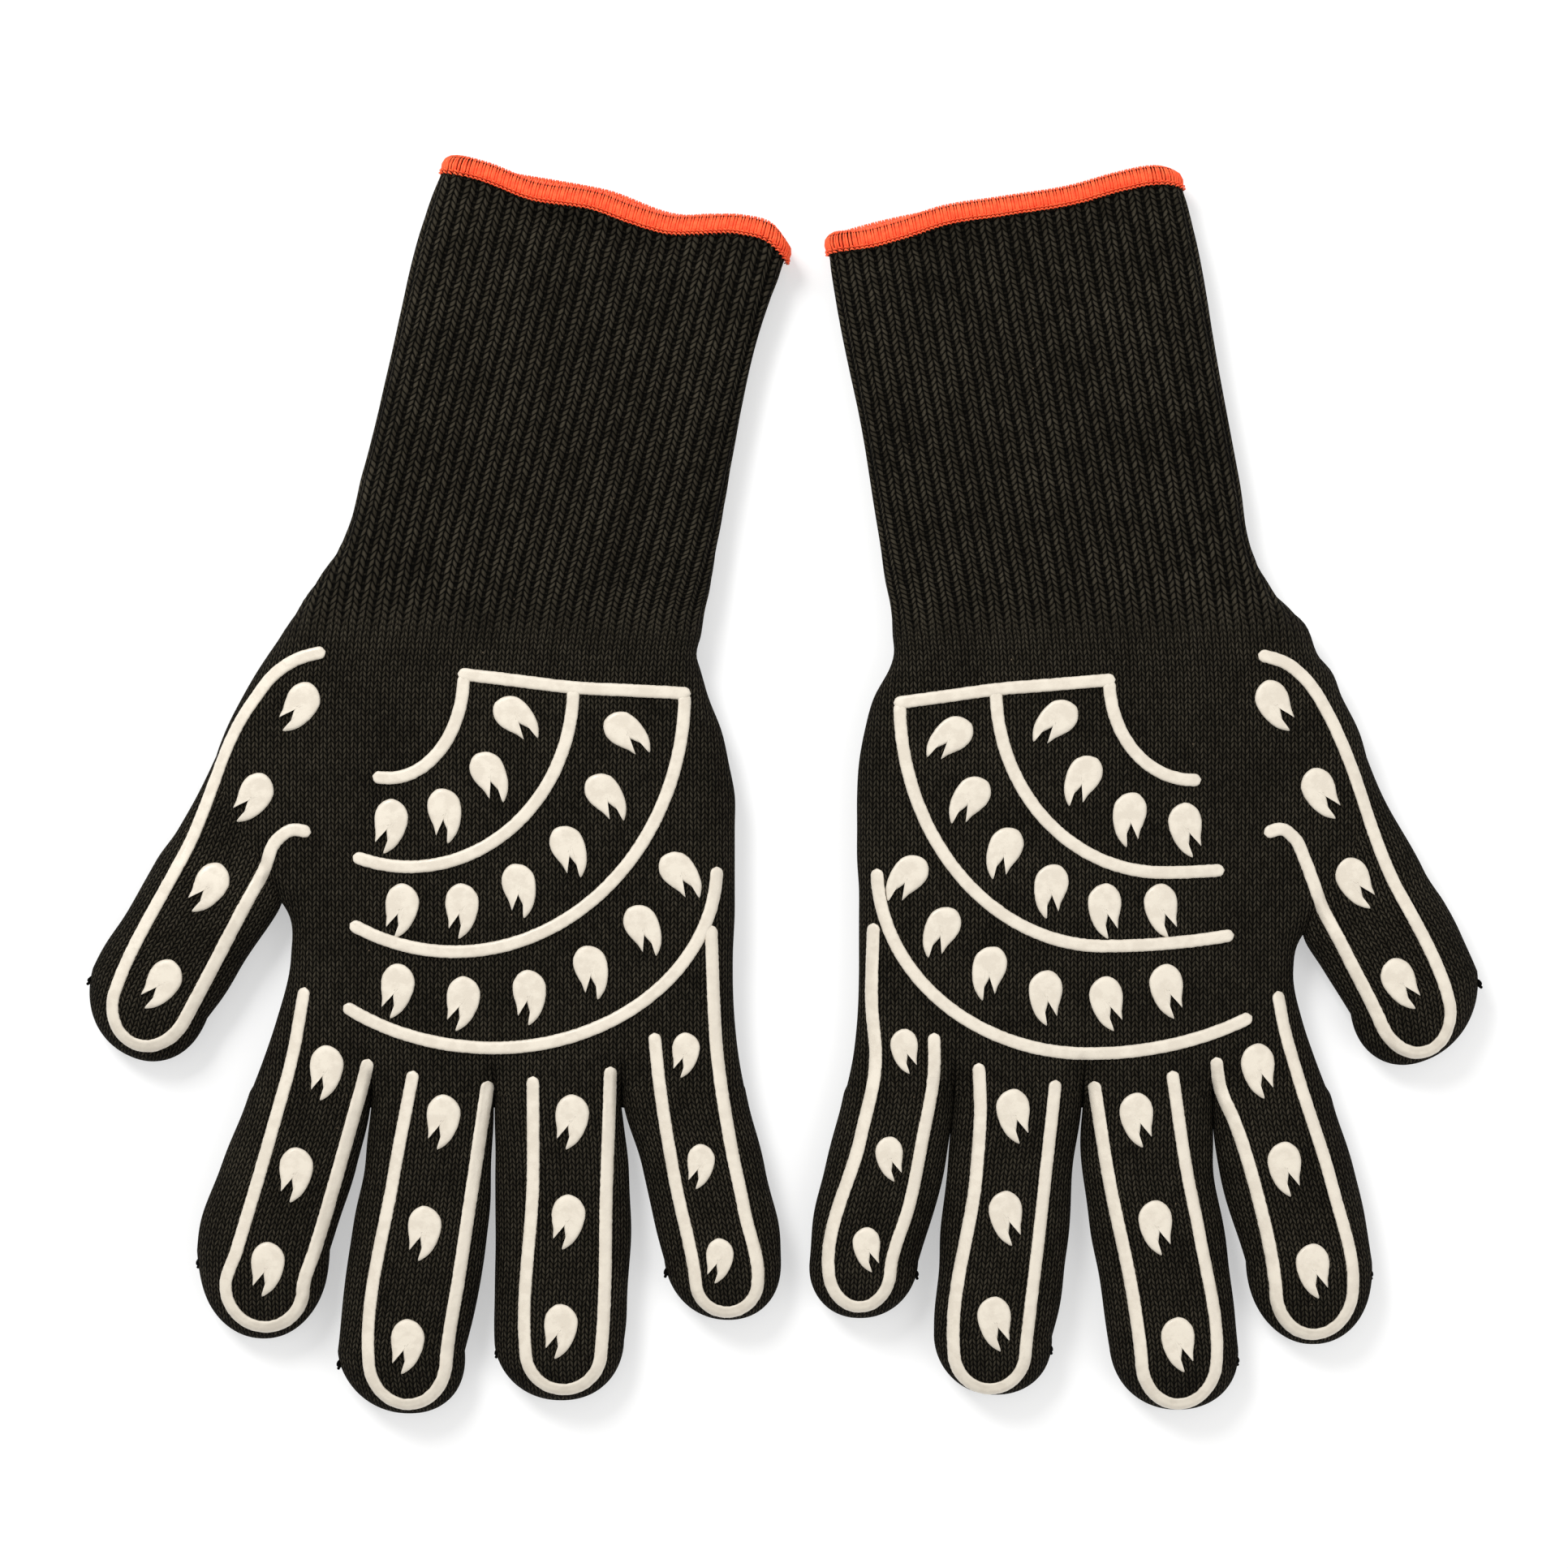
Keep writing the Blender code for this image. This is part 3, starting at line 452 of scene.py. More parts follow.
def ringShape(halfWidth, low, high, sideRadius, underRadius, sidePoints, flatPoints):
    # Rounded cross sections, one row for each half width, from the underside's middle by the east.
    halfWidth, low, high, sideRadius = (np.atleast_1d(np.asarray(item, float))[:, None]
                                        for item in (halfWidth, low, high, sideRadius))
    middle, half = (low + high) / 2, (high - low) / 2
    upper = np.minimum(sideRadius, halfWidth * 0.96)
    under = np.minimum(underRadius, halfWidth * 0.96)
    arc = np.arange(sidePoints) / sidePoints * math.pi / 2
    flat = np.linspace(1, -1, flatPoints, endpoint=False)
    flatHalf = np.linspace(0, 1, flatPoints // 2, endpoint=False)
    x = np.hstack([(halfWidth - under) * flatHalf, halfWidth - under + under * np.sin(arc),
                   halfWidth - upper + upper * np.cos(arc), (halfWidth - upper) * flat,
                   -(halfWidth - upper + upper * np.sin(arc)), -(halfWidth - under + under * np.cos(arc)),
                   -(halfWidth - under) * (1 - flatHalf)])
    one = np.ones_like(halfWidth)
    z = np.hstack([(middle - half) * np.ones((1, len(flatHalf))), middle - half * np.cos(arc),
                   middle + half * np.sin(arc), (middle + half) * np.ones((1, len(flat))),
                   middle + half * np.cos(arc), middle - half * np.sin(arc),
                   (middle - half) * np.ones((1, len(flatHalf)))])
    return x * one, z * one


def arcAround(x, z, reference):
    # Distance round each ring from a fixed place on its top, for the knit's columns.
    nextX, nextZ = np.roll(x, -1, axis=1), np.roll(z, -1, axis=1)
    steps = np.hypot(nextX - x, nextZ - z)
    length = np.hstack([np.zeros((len(x), 1)), np.cumsum(steps, axis=1)])
    across = []
    for row in range(len(x)):
        top = z[row] > (z[row].min() + z[row].max()) / 2
        zero = np.interp(-reference[row], -x[row][top], length[row][:-1][top])
        across.append(zero - length[row])
    return np.array(across)


def addObject(name, data):
    obj = bpy.data.objects.new(name, data)
    bpy.context.scene.collection.objects.link(obj)
    return obj


def joinRings(mesh, rings, ends=True):
    # Faces between neighbouring rings, and over both ends.
    size = len(rings[0])
    for first, second in zip(rings, rings[1:]):
        for k in range(size):
            mesh.faces.new((first[k], first[(k + 1) % size], second[(k + 1) % size], second[k]))
    if ends:
        mesh.faces.new(rings[0])
        mesh.faces.new(rings[-1])


def turnsRound(sides):
    return [2 * math.pi * k / sides for k in range(sides)]


def loft(name, rows, coordinates, closedLoop, material, sharpRows=(), ribs=None):
    # A mesh through rows of rings. Rows run from the cuff to the fingers outside, and back inside.
    # Rims are kept sharp, so that two pieces that meet there are shaded as one surface.
    rows = np.asarray(rows, float) * mm
    count, around = rows.shape[:2]
    pairs = count if closedLoop else count - 1
    r, k = np.meshgrid(np.arange(pairs), np.arange(around), indexing="ij")
    after, below = (k + 1) % around, (r + 1) % count
    quads = np.stack([r * around + k, r * around + after, below * around + after, below * around + k], -1)
    quads = quads.reshape(-1, 4)
    u = np.stack([coordinates[r, k], coordinates[r, k + 1], coordinates[below, k + 1],
                  coordinates[below, k]], 2)
    mesh = bpy.data.meshes.new(name)
    faces = quads.tolist()
    if not closedLoop:
        faces += [list(range(around))[::-1], list(range((count - 1) * around, count * around))]
    mesh.from_pydata(rows.reshape(-1, 3).tolist(), [], faces)
    layer = mesh.uv_layers.new(name="knit")
    values = np.zeros((len(mesh.loops), 2), np.float32)
    values[:quads.size] = u.reshape(-1, 2)
    layer.data.foreach_set("uv", values.ravel())
    mesh.shade_smooth()
    ends = np.zeros(len(mesh.edges) * 2, np.int32)
    mesh.edges.foreach_get("vertices", ends)
    ends = ends.reshape(-1, 2) // around
    sharp = (ends[:, 0] == ends[:, 1]) & np.isin(ends[:, 0], list(sharpRows))
    mesh.attributes.new("sharp_edge", "BOOLEAN", "EDGE").data.foreach_set("value", sharp)
    if ribs is not None:
        layer = mesh.attributes.new("ribs", "FLOAT", "POINT")
        layer.data.foreach_set("value", ribs.astype(np.float32).ravel())
    mesh.materials.append(material)
    mesh.update()
    return addObject(name, mesh)


def joinMeshes(name, objects, material=None):
    # One object from several, with their shapes kept where they are.
    target = bmesh.new()
    for obj in objects:
        target.from_mesh(obj.data)
        bpy.data.objects.remove(obj)
    mesh = bpy.data.meshes.new(name)
    target.to_mesh(mesh)
    target.free()
    mesh.shade_smooth()
    if material:
        mesh.materials.clear()
        mesh.materials.append(material)
    return addObject(name, mesh)


# The knitted shells

def bodyStations(glove, y):
    # Middle, half width and turn of the palm and cuff, which are one run of knit.
    cuff = np.array(glove["cuff"], float)
    palm = np.array([row for row in glove["palm"] if row[0] < cuff[0, 0] - 1], float)
    lower = np.stack([palm[:, 0], (palm[:, 1] + palm[:, 2]) / 2, (palm[:, 2] - palm[:, 1]) / 2,
                      np.zeros(len(palm))], -1)
    table = np.vstack([lower, cuff])
    return (smoothValues(table[:, 0], table[:, column], y) for column in (1, 2, 3))


def fingerTops(glove, x, shift):
    # How high the fingers stand across the palm's end, as a share of half the thickness.
    share = np.zeros_like(x)
    for key in ("index", "middle", "ring", "little"):
        root = jointAt[f"{glove['name']}_{key}_root"]["pos_m"][0] / mm - shift.x
        table = np.array(glove["digits"][key]["rows"], float)
        west, east = (np.interp(3.0, table[:, 0], table[:, column]) + root for column in (1, 2))
        middle, half = (west + east) / 2, (east - west) / 2
        radius = skinSettings["fingerRadius"]
        outside = np.clip((np.abs(x - middle) - (half - radius)) / radius, 0, 1)
        inside = np.abs(x - middle) < half
        share = np.maximum(share, np.sqrt(1 - outside**2) * inside)
    return share


def makeBody(glove, shift):
    # The palm and the rib-knit cuff from one set of rings, cut in two below the wrist.
    settings, ribs, name = skinSettings, cuffSettings, glove["name"]
    mouthEnd = glove["cuff"][-1][0]
    upper = np.arange(mouthEnd, settings["waist"], -ribs["rowStep"])
    y = np.hstack([upper, np.arange(settings["waist"], settings["palmEnd"] - 0.1, -settings["rowStep"])])
    cut = len(upper)
    middle, half, turn = bodyStations(glove, y)
    turn = np.radians(turn)
    nearFingers = smoothStep(-70, -83, y)
    tucked = np.clip((settings["tuckFrom"] - y) / (settings["tuckFrom"] - settings["palmEnd"]), 0, 1) ** 2
    half = half - settings["tuckAcross"] * tucked - settings["inset"]
    towardsMouth = smoothStep(40, 70, y)
    thick = settings["thickness"] - (settings["thickness"] - settings["mouthThickness"]) * towardsMouth
    flatter = settings["mouthSideRadius"] - settings["sideRadius"]
    rounder = settings["fingerRadius"] - settings["sideRadius"]
    sideRadius = settings["sideRadius"] + flatter * towardsMouth + rounder * smoothStep(-55, -80, y)
    x, z = ringShape(half, np.full(len(y), settings["palmLift"]), thick - 0.1, sideRadius,
                     settings["underRadius"], settings["sidePoints"], ribs["flatPoints"])
    column = y[:, None] + 0 * x
    centre = (z.max(1) + z.min(1))[:, None] / 2
    tall = (z.max(1) - z.min(1))[:, None] / 2
    rise = (z - centre) / tall
    onTop = np.clip(rise * 1.6, 0, 1)
    u = arcAround(x, z, columnPath(glove, y) - middle)
    flatness = 1 - nearFingers[:, None]
    fingers = fingerTops(glove, x + middle[:, None], shift)
    deep = nearFingers[:, None]
    rise = np.where(rise > 0, (1 - deep) * rise + deep * np.minimum(rise, fingers), rise)
    z = centre + tall * rise
    calm = (1 - smoothStep(-58, -78, y))[:, None]
    wave = softNoise((x + middle[:, None]) / settings["unevenSize"], column / settings["unevenSize"],
                     glove["mirror"] * 2.1)
    crown = settings["crown"] * (x / half[:, None]) ** 2 * (1 - towardsMouth[:, None]) * flatness
    share = np.clip(x / half[:, None], -1, 1)
    crease = glove["fold"]
    creaseRow = np.exp(-((y - (mouthEnd - ribs["foldBelow"])) / ribs["foldSpread"]) ** 2)[:, None]
    fold = creaseRow * (
        ribs["foldAll"] + crease["depth"] * np.exp(-((share - crease["place"]) / crease["width"]) ** 2))
    z = z + onTop * (settings["unevenness"] * wave * calm - crown - fold
                     - settings["tuckDown"] * tucked[:, None])
    outX = np.roll(x, -1, axis=1) - np.roll(x, 1, axis=1)
    outZ = np.roll(z, -1, axis=1) - np.roll(z, 1, axis=1)
    size = np.maximum(np.hypot(outX, outZ), 1e-6)
    normalX, normalZ = outZ / size, -outX / size
    ribShare = smoothStep(ribs["ribStart"], ribs["ribEnd"], y)
    end = 1 - smoothStep(mouthEnd - 9, mouthEnd - 4, y)
    ribWave = np.cos((u[:, :-1] / ribs["ribPitch"] - 0.5) * 2 * math.pi)
    relief = ribs["ribDepth"] * (ribWave - 0.35) * (ribShare * end)[:, None]
    innerX, innerZ = x - normalX * settings["wall"], z - normalZ * settings["wall"]
    x, z = x + normalX * relief, np.maximum(z + normalZ * relief, 0.05)
    front, back = (np.array(glove[key]) for key in ("front", "back"))
    rises = [smoothValues(side[:, 0], side[:, 1], share.ravel()).reshape(share.shape)
             for side in (front, back)]
    above = smoothStep(-0.6, 0.6, (z - centre) / tall)
    nearMouth = smoothStep(mouthEnd - ribs["waveReach"], mouthEnd, y)[:, None]
    slide = (rises[1] + (rises[0] - rises[1]) * above) * nearMouth
    sideways = np.stack([np.cos(turn), np.sin(turn)], -1)
    backwards = np.stack([-np.sin(turn), np.cos(turn)], -1)

    def placed(across, height):
        return np.stack([middle[:, None] + across * sideways[:, :1] + slide * backwards[:, :1] + shift.x,
                         column + across * sideways[:, 1:] + slide * backwards[:, 1:] + shift.y, height], -1)

    outer, inner = placed(x, z), placed(innerX, innerZ)
    uv = np.stack([u, np.broadcast_to(y[:, None], u.shape)], -1)
    ribValues = np.broadcast_to(ribShare[:, None], x.shape)
    skins = []
    for part, rows in (("Palm", range(cut, len(y))), ("Cuff", range(cut + 1))):
        rows = list(rows)
        inside = sorted(set(rows[::7]) | {rows[-1]})[::-1]
        skin = loft(f"{name}{part}Skin", np.vstack([outer[rows], inner[inside]]),
                    np.vstack([uv[rows], uv[inside]]), True, knit, sharpRows=(0, len(rows) - 1),
                    ribs=np.vstack([ribValues[rows], ribValues[inside]]))
        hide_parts(f"{name}_{part.lower()}_knit")
        skins.append(skin)
    palmSkin, cuffSkin = skins
    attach(palmSkin, f"{name}_palm")
    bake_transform(cuffSkin)
    layers, every = [], linerSettings["every"]
    for depth in (settings["wall"] + linerSettings["gap"], settings["wall"] + linerSettings["depth"]):
        layers.append(placed(x - normalX * depth, z - normalZ * depth)[:, ::every])
    for part, rows in (("Palm", range(cut + every, cut + linerSettings["palmRows"], every)),
                       ("Cuff", range(every, cut, every))):
        rows = list(rows)
        flat = np.vstack([layers[0][rows], layers[1][rows][::-1]])
        columns = np.arange(flat.shape[1] + 1) * linerSettings["column"]
        thinUv = np.stack([np.broadcast_to(columns, (len(flat), len(columns))),
                           np.broadcast_to(flat[:, :1, 1], (len(flat), len(columns)))], -1)
        liner = loft(f"{name}{part}Liner", flat, thinUv, True, linerKnit)
        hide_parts(f"{name}_{part.lower()}_liner")
        if part == "Palm":
            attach(liner, f"{name}_palm")
        else:
            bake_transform(liner)
    mouth = {"outer": outer[0], "sideways": sideways[0], "backwards": backwards[0],
             "normal": np.stack([normalX[0], normalZ[0]], -1)}
    return skins, mouth


def columnPath(glove, y):
    # Where the knit's middle column runs: along the cuff's lean, then straight down the palm.
    steps = np.linspace(156.0, 0.0, 157)
    slope = np.tan(np.radians(glove["lean"])) * smoothStep(12, 66, steps)
    start = glove["cuff"][-1][1]
    path = start - np.hstack([[0], np.cumsum((slope[1:] + slope[:-1]) / 2 * (steps[0] - steps[1]))])
    return np.interp(-np.asarray(y, float), -steps, path)


def digitPieces(glove, key, shift):
    # A digit's shell in two pieces that meet half way along its base segment.
    settings, shape, digit, name = skinSettings, digitSettings, glove["digits"][key], glove["name"]
    thumb = key == "thumb"
    root = Vector(jointAt[f"{name}_{key}_root"]["pos_m"]) / mm
    middleJoint = Vector(jointAt[f"{name}_{key}_middle"]["pos_m"]) / mm
    turn = math.radians(-digit["lean"])
    sideways = np.array([math.cos(turn), math.sin(turn)])
    outwards = np.array([math.sin(turn), -math.cos(turn)])
    table = np.array(digit["rows"], float)
    start, shoulder, tip = table[0, 0], table[-1, 0], digit["tip"]
    toMiddle = float(np.dot(np.array(middleJoint[:2]) - np.array(root[:2]), outwards))
    split = toMiddle * (shape["thumbSplit"] if thumb else shape["fingerSplit"])
    straight = np.arange(start, shoulder, settings["fingerRowStep"])
    sweep = np.linspace(0, 1, shape["capRows"])
    cap = shoulder + (tip - shoulder) * np.sin(sweep * math.pi / 2)
    straight = straight[np.abs(straight - split) > 0.3]
    along = np.sort(np.hstack([straight[straight < shoulder - 0.3], [split], cap]))
    west = smoothValues(table[:, 0], table[:, 1], np.minimum(along, shoulder))
    east = smoothValues(table[:, 0], table[:, 2], np.minimum(along, shoulder))
    if not thumb:
        palmMiddle, palmHalf, _ = bodyStations(glove, root.y - shift.y - along)
        outside = 1.4 * smoothStep(-4, 5, along) + 50 * smoothStep(4, 6, along) - 0.9
        limit = palmMiddle - root.x + shift.x
        west = np.maximum(west, limit - palmHalf - outside)
        east = np.minimum(east, limit + palmHalf + outside)
    share = np.clip((along - shoulder) / (tip - shoulder), 0, 1)
    middle = (west + east) / 2
    drift = digit["tipMiddle"] - middle[-1]
    middle = middle + drift * share
    half = (east - west) / 2 * np.sqrt(np.clip(1 - share**2.1, 0.0004, 1))
    buried = smoothStep(5, -5, along)
    half = half - (0.9 if thumb else 0.3) * buried
    top = settings["thickness"] - 0.1 - (1.4 if thumb else 0.8) * buried
    sink = np.sqrt(np.clip(1 - share**2.6, 0.0, 1))
    high = shape["tipHeight"] + (top - shape["tipHeight"]) * sink
    low = 0.1 + 1.2 * buried + shape["tipLift"] * (1 - sink)
    layers = []
    for inset in (0.0, settings["wall"]):
        radius = settings["fingerRadius"]
        thin = np.maximum(half - inset, 0.3)
        x, z = ringShape(thin, np.minimum(low + inset, (low + high) / 2 - 0.2),
                         np.maximum(high - inset, (low + high) / 2 + 0.2), radius, settings["underRadius"],
                         settings["sidePoints"], shape["topPoints"])
        onTop = np.clip((z - 7) / 7, 0, 1)
        far = smoothStep(4, 24, along)[:, None]
        run = along[:, None] + 0 * x
        crown = 0.5 * (x / np.maximum(half[:, None], 1)) ** 2
        z = z + onTop * far * (0.22 * softNoise(x / 14, run / settings["unevenSize"] * 1.6, root.x) - crown)
        wobble = settings["puckers"] * far * softNoise(np.sign(x) * 3, run / 5, root.x * 0.3)
        wobble = wobble * (1 - share[:, None])
        x = x + wobble * np.sign(x) * np.clip(np.abs(x) / np.maximum(half[:, None], 1), 0, 1) ** 4
        u = arcAround(x, z, np.zeros(len(along)))
        x = x + middle[:, None]
        v = np.broadcast_to(-along[:, None], u.shape)
        world = (root[0] + x * sideways[0] + along[:, None] * outwards[0],
                 root[1] + x * sideways[1] + along[:, None] * outwards[1])
        layers.append((np.stack([world[0], world[1], z], -1),
                       np.stack([u + root.x - shift.x - columnPath(glove, 0), v + root.y], -1)))
    (outer, outerUv), (inner, innerUv) = layers
    cut = int(np.argmin(np.abs(along - split)))
    base = slice(0, cut + 1)
    baseInner, baseInnerUv = inner[base][::-1], innerUv[base][::-1]
    keptRows = sorted(set(list(range(0, cut + 1, 6)) + [cut]))
    basePiece = loft(f"{name}{key.title()}Base", np.vstack([outer[base], baseInner[keptRows]]),
                     np.vstack([outerUv[base], baseInnerUv[keptRows]]), True, knit, sharpRows=(0, cut))
    tipRows = list(range(cut, len(along), 4))
    innerTip, innerTipUv = inner[tipRows][::-1], innerUv[tipRows][::-1]
    innerKept = 2
    tipPiece = loft(f"{name}{key.title()}Tip", np.vstack([innerTip[innerKept:], outer[cut:]]),
                    np.vstack([innerTipUv[innerKept:], outerUv[cut:]]), False, knit,
                    sharpRows=(len(innerTip) - innerKept,))
    digitFrame = {"root": root, "sideways": sideways, "outwards": outwards, "split": split,
                  "toMiddle": toMiddle, "name": f"{name}_{key}", "palm": f"{name}_palm"}
    return {"frame": digitFrame, "base": basePiece, "tip": tipPiece}


def placeOn(digitFrame, along, across=0.0):
    root, sideways, outwards = digitFrame["root"], digitFrame["sideways"], digitFrame["outwards"]
    return Vector((root[0] + across * sideways[0] + along * outwards[0],
                   root[1] + across * sideways[1] + along * outwards[1], 7.5)) * mm


def bendBase(obj, digitFrame, thumb):
    reach = digitSettings["thumbReach"] if thumb else digitSettings["fingerReach"]
    placeOn(digitFrame, 0.5)
    placeOn(digitFrame, reach)
    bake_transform(obj)


def bendTip(obj, digitFrame):
    middle = digitFrame["toMiddle"]
    reach = digitSettings["longReach"] if middle > digitSettings["longFrom"] else digitSettings["shortReach"]
    placeOn(digitFrame, max(middle - reach, digitFrame["split"] + 0.1))
    placeOn(digitFrame, middle + reach)
    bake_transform(obj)


# The edging, thread by thread

def tubeAlong(path, radius, sides, thickness):
    # Points and faces of a closed thread along a path in its own plane.
    mesh = bmesh.new()
    rings = []
    for index, point in enumerate(path):
        before, after = path[max(0, index - 1)], path[min(len(path) - 1, index + 1)]
        forward = (after - before).normalized()
        across = Vector((1, 0, 0))
        up = forward.cross(across).normalized()
        thin = radius * thickness[index]
        rings.append([mesh.verts.new(point + across * thin * math.cos(a) + up * thin * math.sin(a))
                      for a in turnsRound(sides)])
    joinRings(mesh, rings)
    bmesh.ops.recalc_face_normals(mesh, faces=mesh.faces[:])
    return mesh


def helperObject(name, mesh):
    data = bpy.data.meshes.new(name)
    mesh.to_mesh(data)
    mesh.free()
    data.shade_smooth()
    return addObject(name, data)


def makeStitchRowTree():
    # Copies one stitch onto each point of a row, turned to the row, pulled into small bundles.
    tree = bpy.data.node_groups.new("stitch row", "GeometryNodeTree")
    face = tree.interface
    face.new_socket("Geometry", in_out="INPUT", socket_type="NodeSocketGeometry")
    number, count = "NodeSocketFloat", "NodeSocketInt"
    for socketName, kind, value in (
            ("Stitch", "NodeSocketObject", None), ("Finish", "NodeSocketMaterial", None), ("Seed", count, 1),
            ("Spread", number, 0.05), ("Bundle", count, 3), ("Pull", number, 0.0)):
        socket = face.new_socket(socketName, in_out="INPUT", socket_type=kind)
        if value is not None:
            socket.default_value = value
    face.new_socket("Geometry", in_out="OUTPUT", socket_type="NodeSocketGeometry")
    given, result = tree.nodes.new("NodeGroupInput").outputs, tree.nodes.new("NodeGroupOutput").inputs
    along = addNode(tree, "GeometryNodeInputNamedAttribute", {"Name": "alongRow"}, data_type="FLOAT_VECTOR")
    up = addNode(tree, "GeometryNodeInputNamedAttribute", {"Name": "upRow"}, data_type="FLOAT_VECTOR")
    index = addNode(tree, "GeometryNodeInputIndex").outputs[0]
    place = mathNode(tree, "SUBTRACT", mathNode(tree, "MODULO", index, given["Bundle"]), 1.0)
    pull = mathNode(tree, "MULTIPLY", place, given["Pull"])
    offset = addNode(tree, "ShaderNodeVectorMath", {0: along.outputs[0], "Scale": pull}, operation="SCALE")
    moved = addNode(tree, "GeometryNodeSetPosition",
                    {"Geometry": given["Geometry"], "Offset": offset.outputs[0]})
    upright = addNode(tree, "FunctionNodeAlignRotationToVector", {"Vector": up.outputs[0]}, axis="Z")
    turned = addNode(tree, "FunctionNodeAlignRotationToVector",
                     {"Rotation": upright.outputs[0], "Vector": along.outputs[0]}, axis="X", pivot_axis="Z")
    size = addNode(tree, "FunctionNodeRandomValue",
                   {"Min": mathNode(tree, "SUBTRACT", 1.0, given["Spread"]),
                    "Max": mathNode(tree, "ADD", 1.0, given["Spread"]), "Seed": given["Seed"]},
                   data_type="FLOAT")
    stitch = addNode(tree, "GeometryNodeObjectInfo", {"Object": given["Stitch"]})
    copies = addNode(tree, "GeometryNodeInstanceOnPoints",
                     {"Points": moved.outputs[0], "Instance": stitch.outputs["Geometry"],
                      "Rotation": turned.outputs[0], "Scale": size.outputs[1]})
    real = addNode(tree, "GeometryNodeRealizeInstances", {"Geometry": copies.outputs[0]})
    finished = addNode(tree, "GeometryNodeSetMaterial",
                       {"Geometry": real.outputs[0], "Material": given["Finish"]})
    tree.links.new(finished.outputs[0], result[0])
    return tree


stitchRowTree = makeStitchRowTree()


def bakeStitchRow(name, points, along, up, stitch, finish, values):
    data = bpy.data.meshes.new(name)
    data.from_pydata([tuple(point) for point in points], [], [])
    for key, vectors in (("alongRow", along), ("upRow", up)):
        attribute = data.attributes.new(key, "FLOAT_VECTOR", "POINT")
        attribute.data.foreach_set("vector", np.asarray(vectors, np.float32).ravel())
    row = addObject(name, data)
    modifier = row.modifiers.new("stitches", "NODES")
    modifier.node_group = stitchRowTree
    sockets = {item.name: item.identifier for item in stitchRowTree.interface.items_tree
               if item.in_out == "INPUT"}
    modifier[sockets["Stitch"]] = stitch
    modifier[sockets["Finish"]] = finish
    for key, value in values.items():
        modifier[sockets[key]] = value
    bpy.context.view_layer.update()
    graph = bpy.context.evaluated_depsgraph_get()
    baked = bpy.data.meshes.new_from_object(row.evaluated_get(graph))
    bpy.data.objects.remove(row)
    baked.name = name
    baked.shade_smooth()
    return addObject(name, baked)


def spreadEvenly(points, spacing):
    # Evenly spaced places round a closed row of points, as indices with fractions.
    steps = np.linalg.norm(np.roll(points, -1, axis=0) - points, axis=1)
    length = np.hstack([[0], np.cumsum(steps)])
    count = int(round(length[-1] / spacing / 3)) * 3
    return np.interp(np.arange(count) * length[-1] / count, length, np.arange(len(points) + 1))


def alongRing(values, where):
    low = np.floor(where).astype(int)
    part = (where - low)[:, None]
    size = len(values)
    return values[low % size] * (1 - part) + values[(low + 1) % size] * part


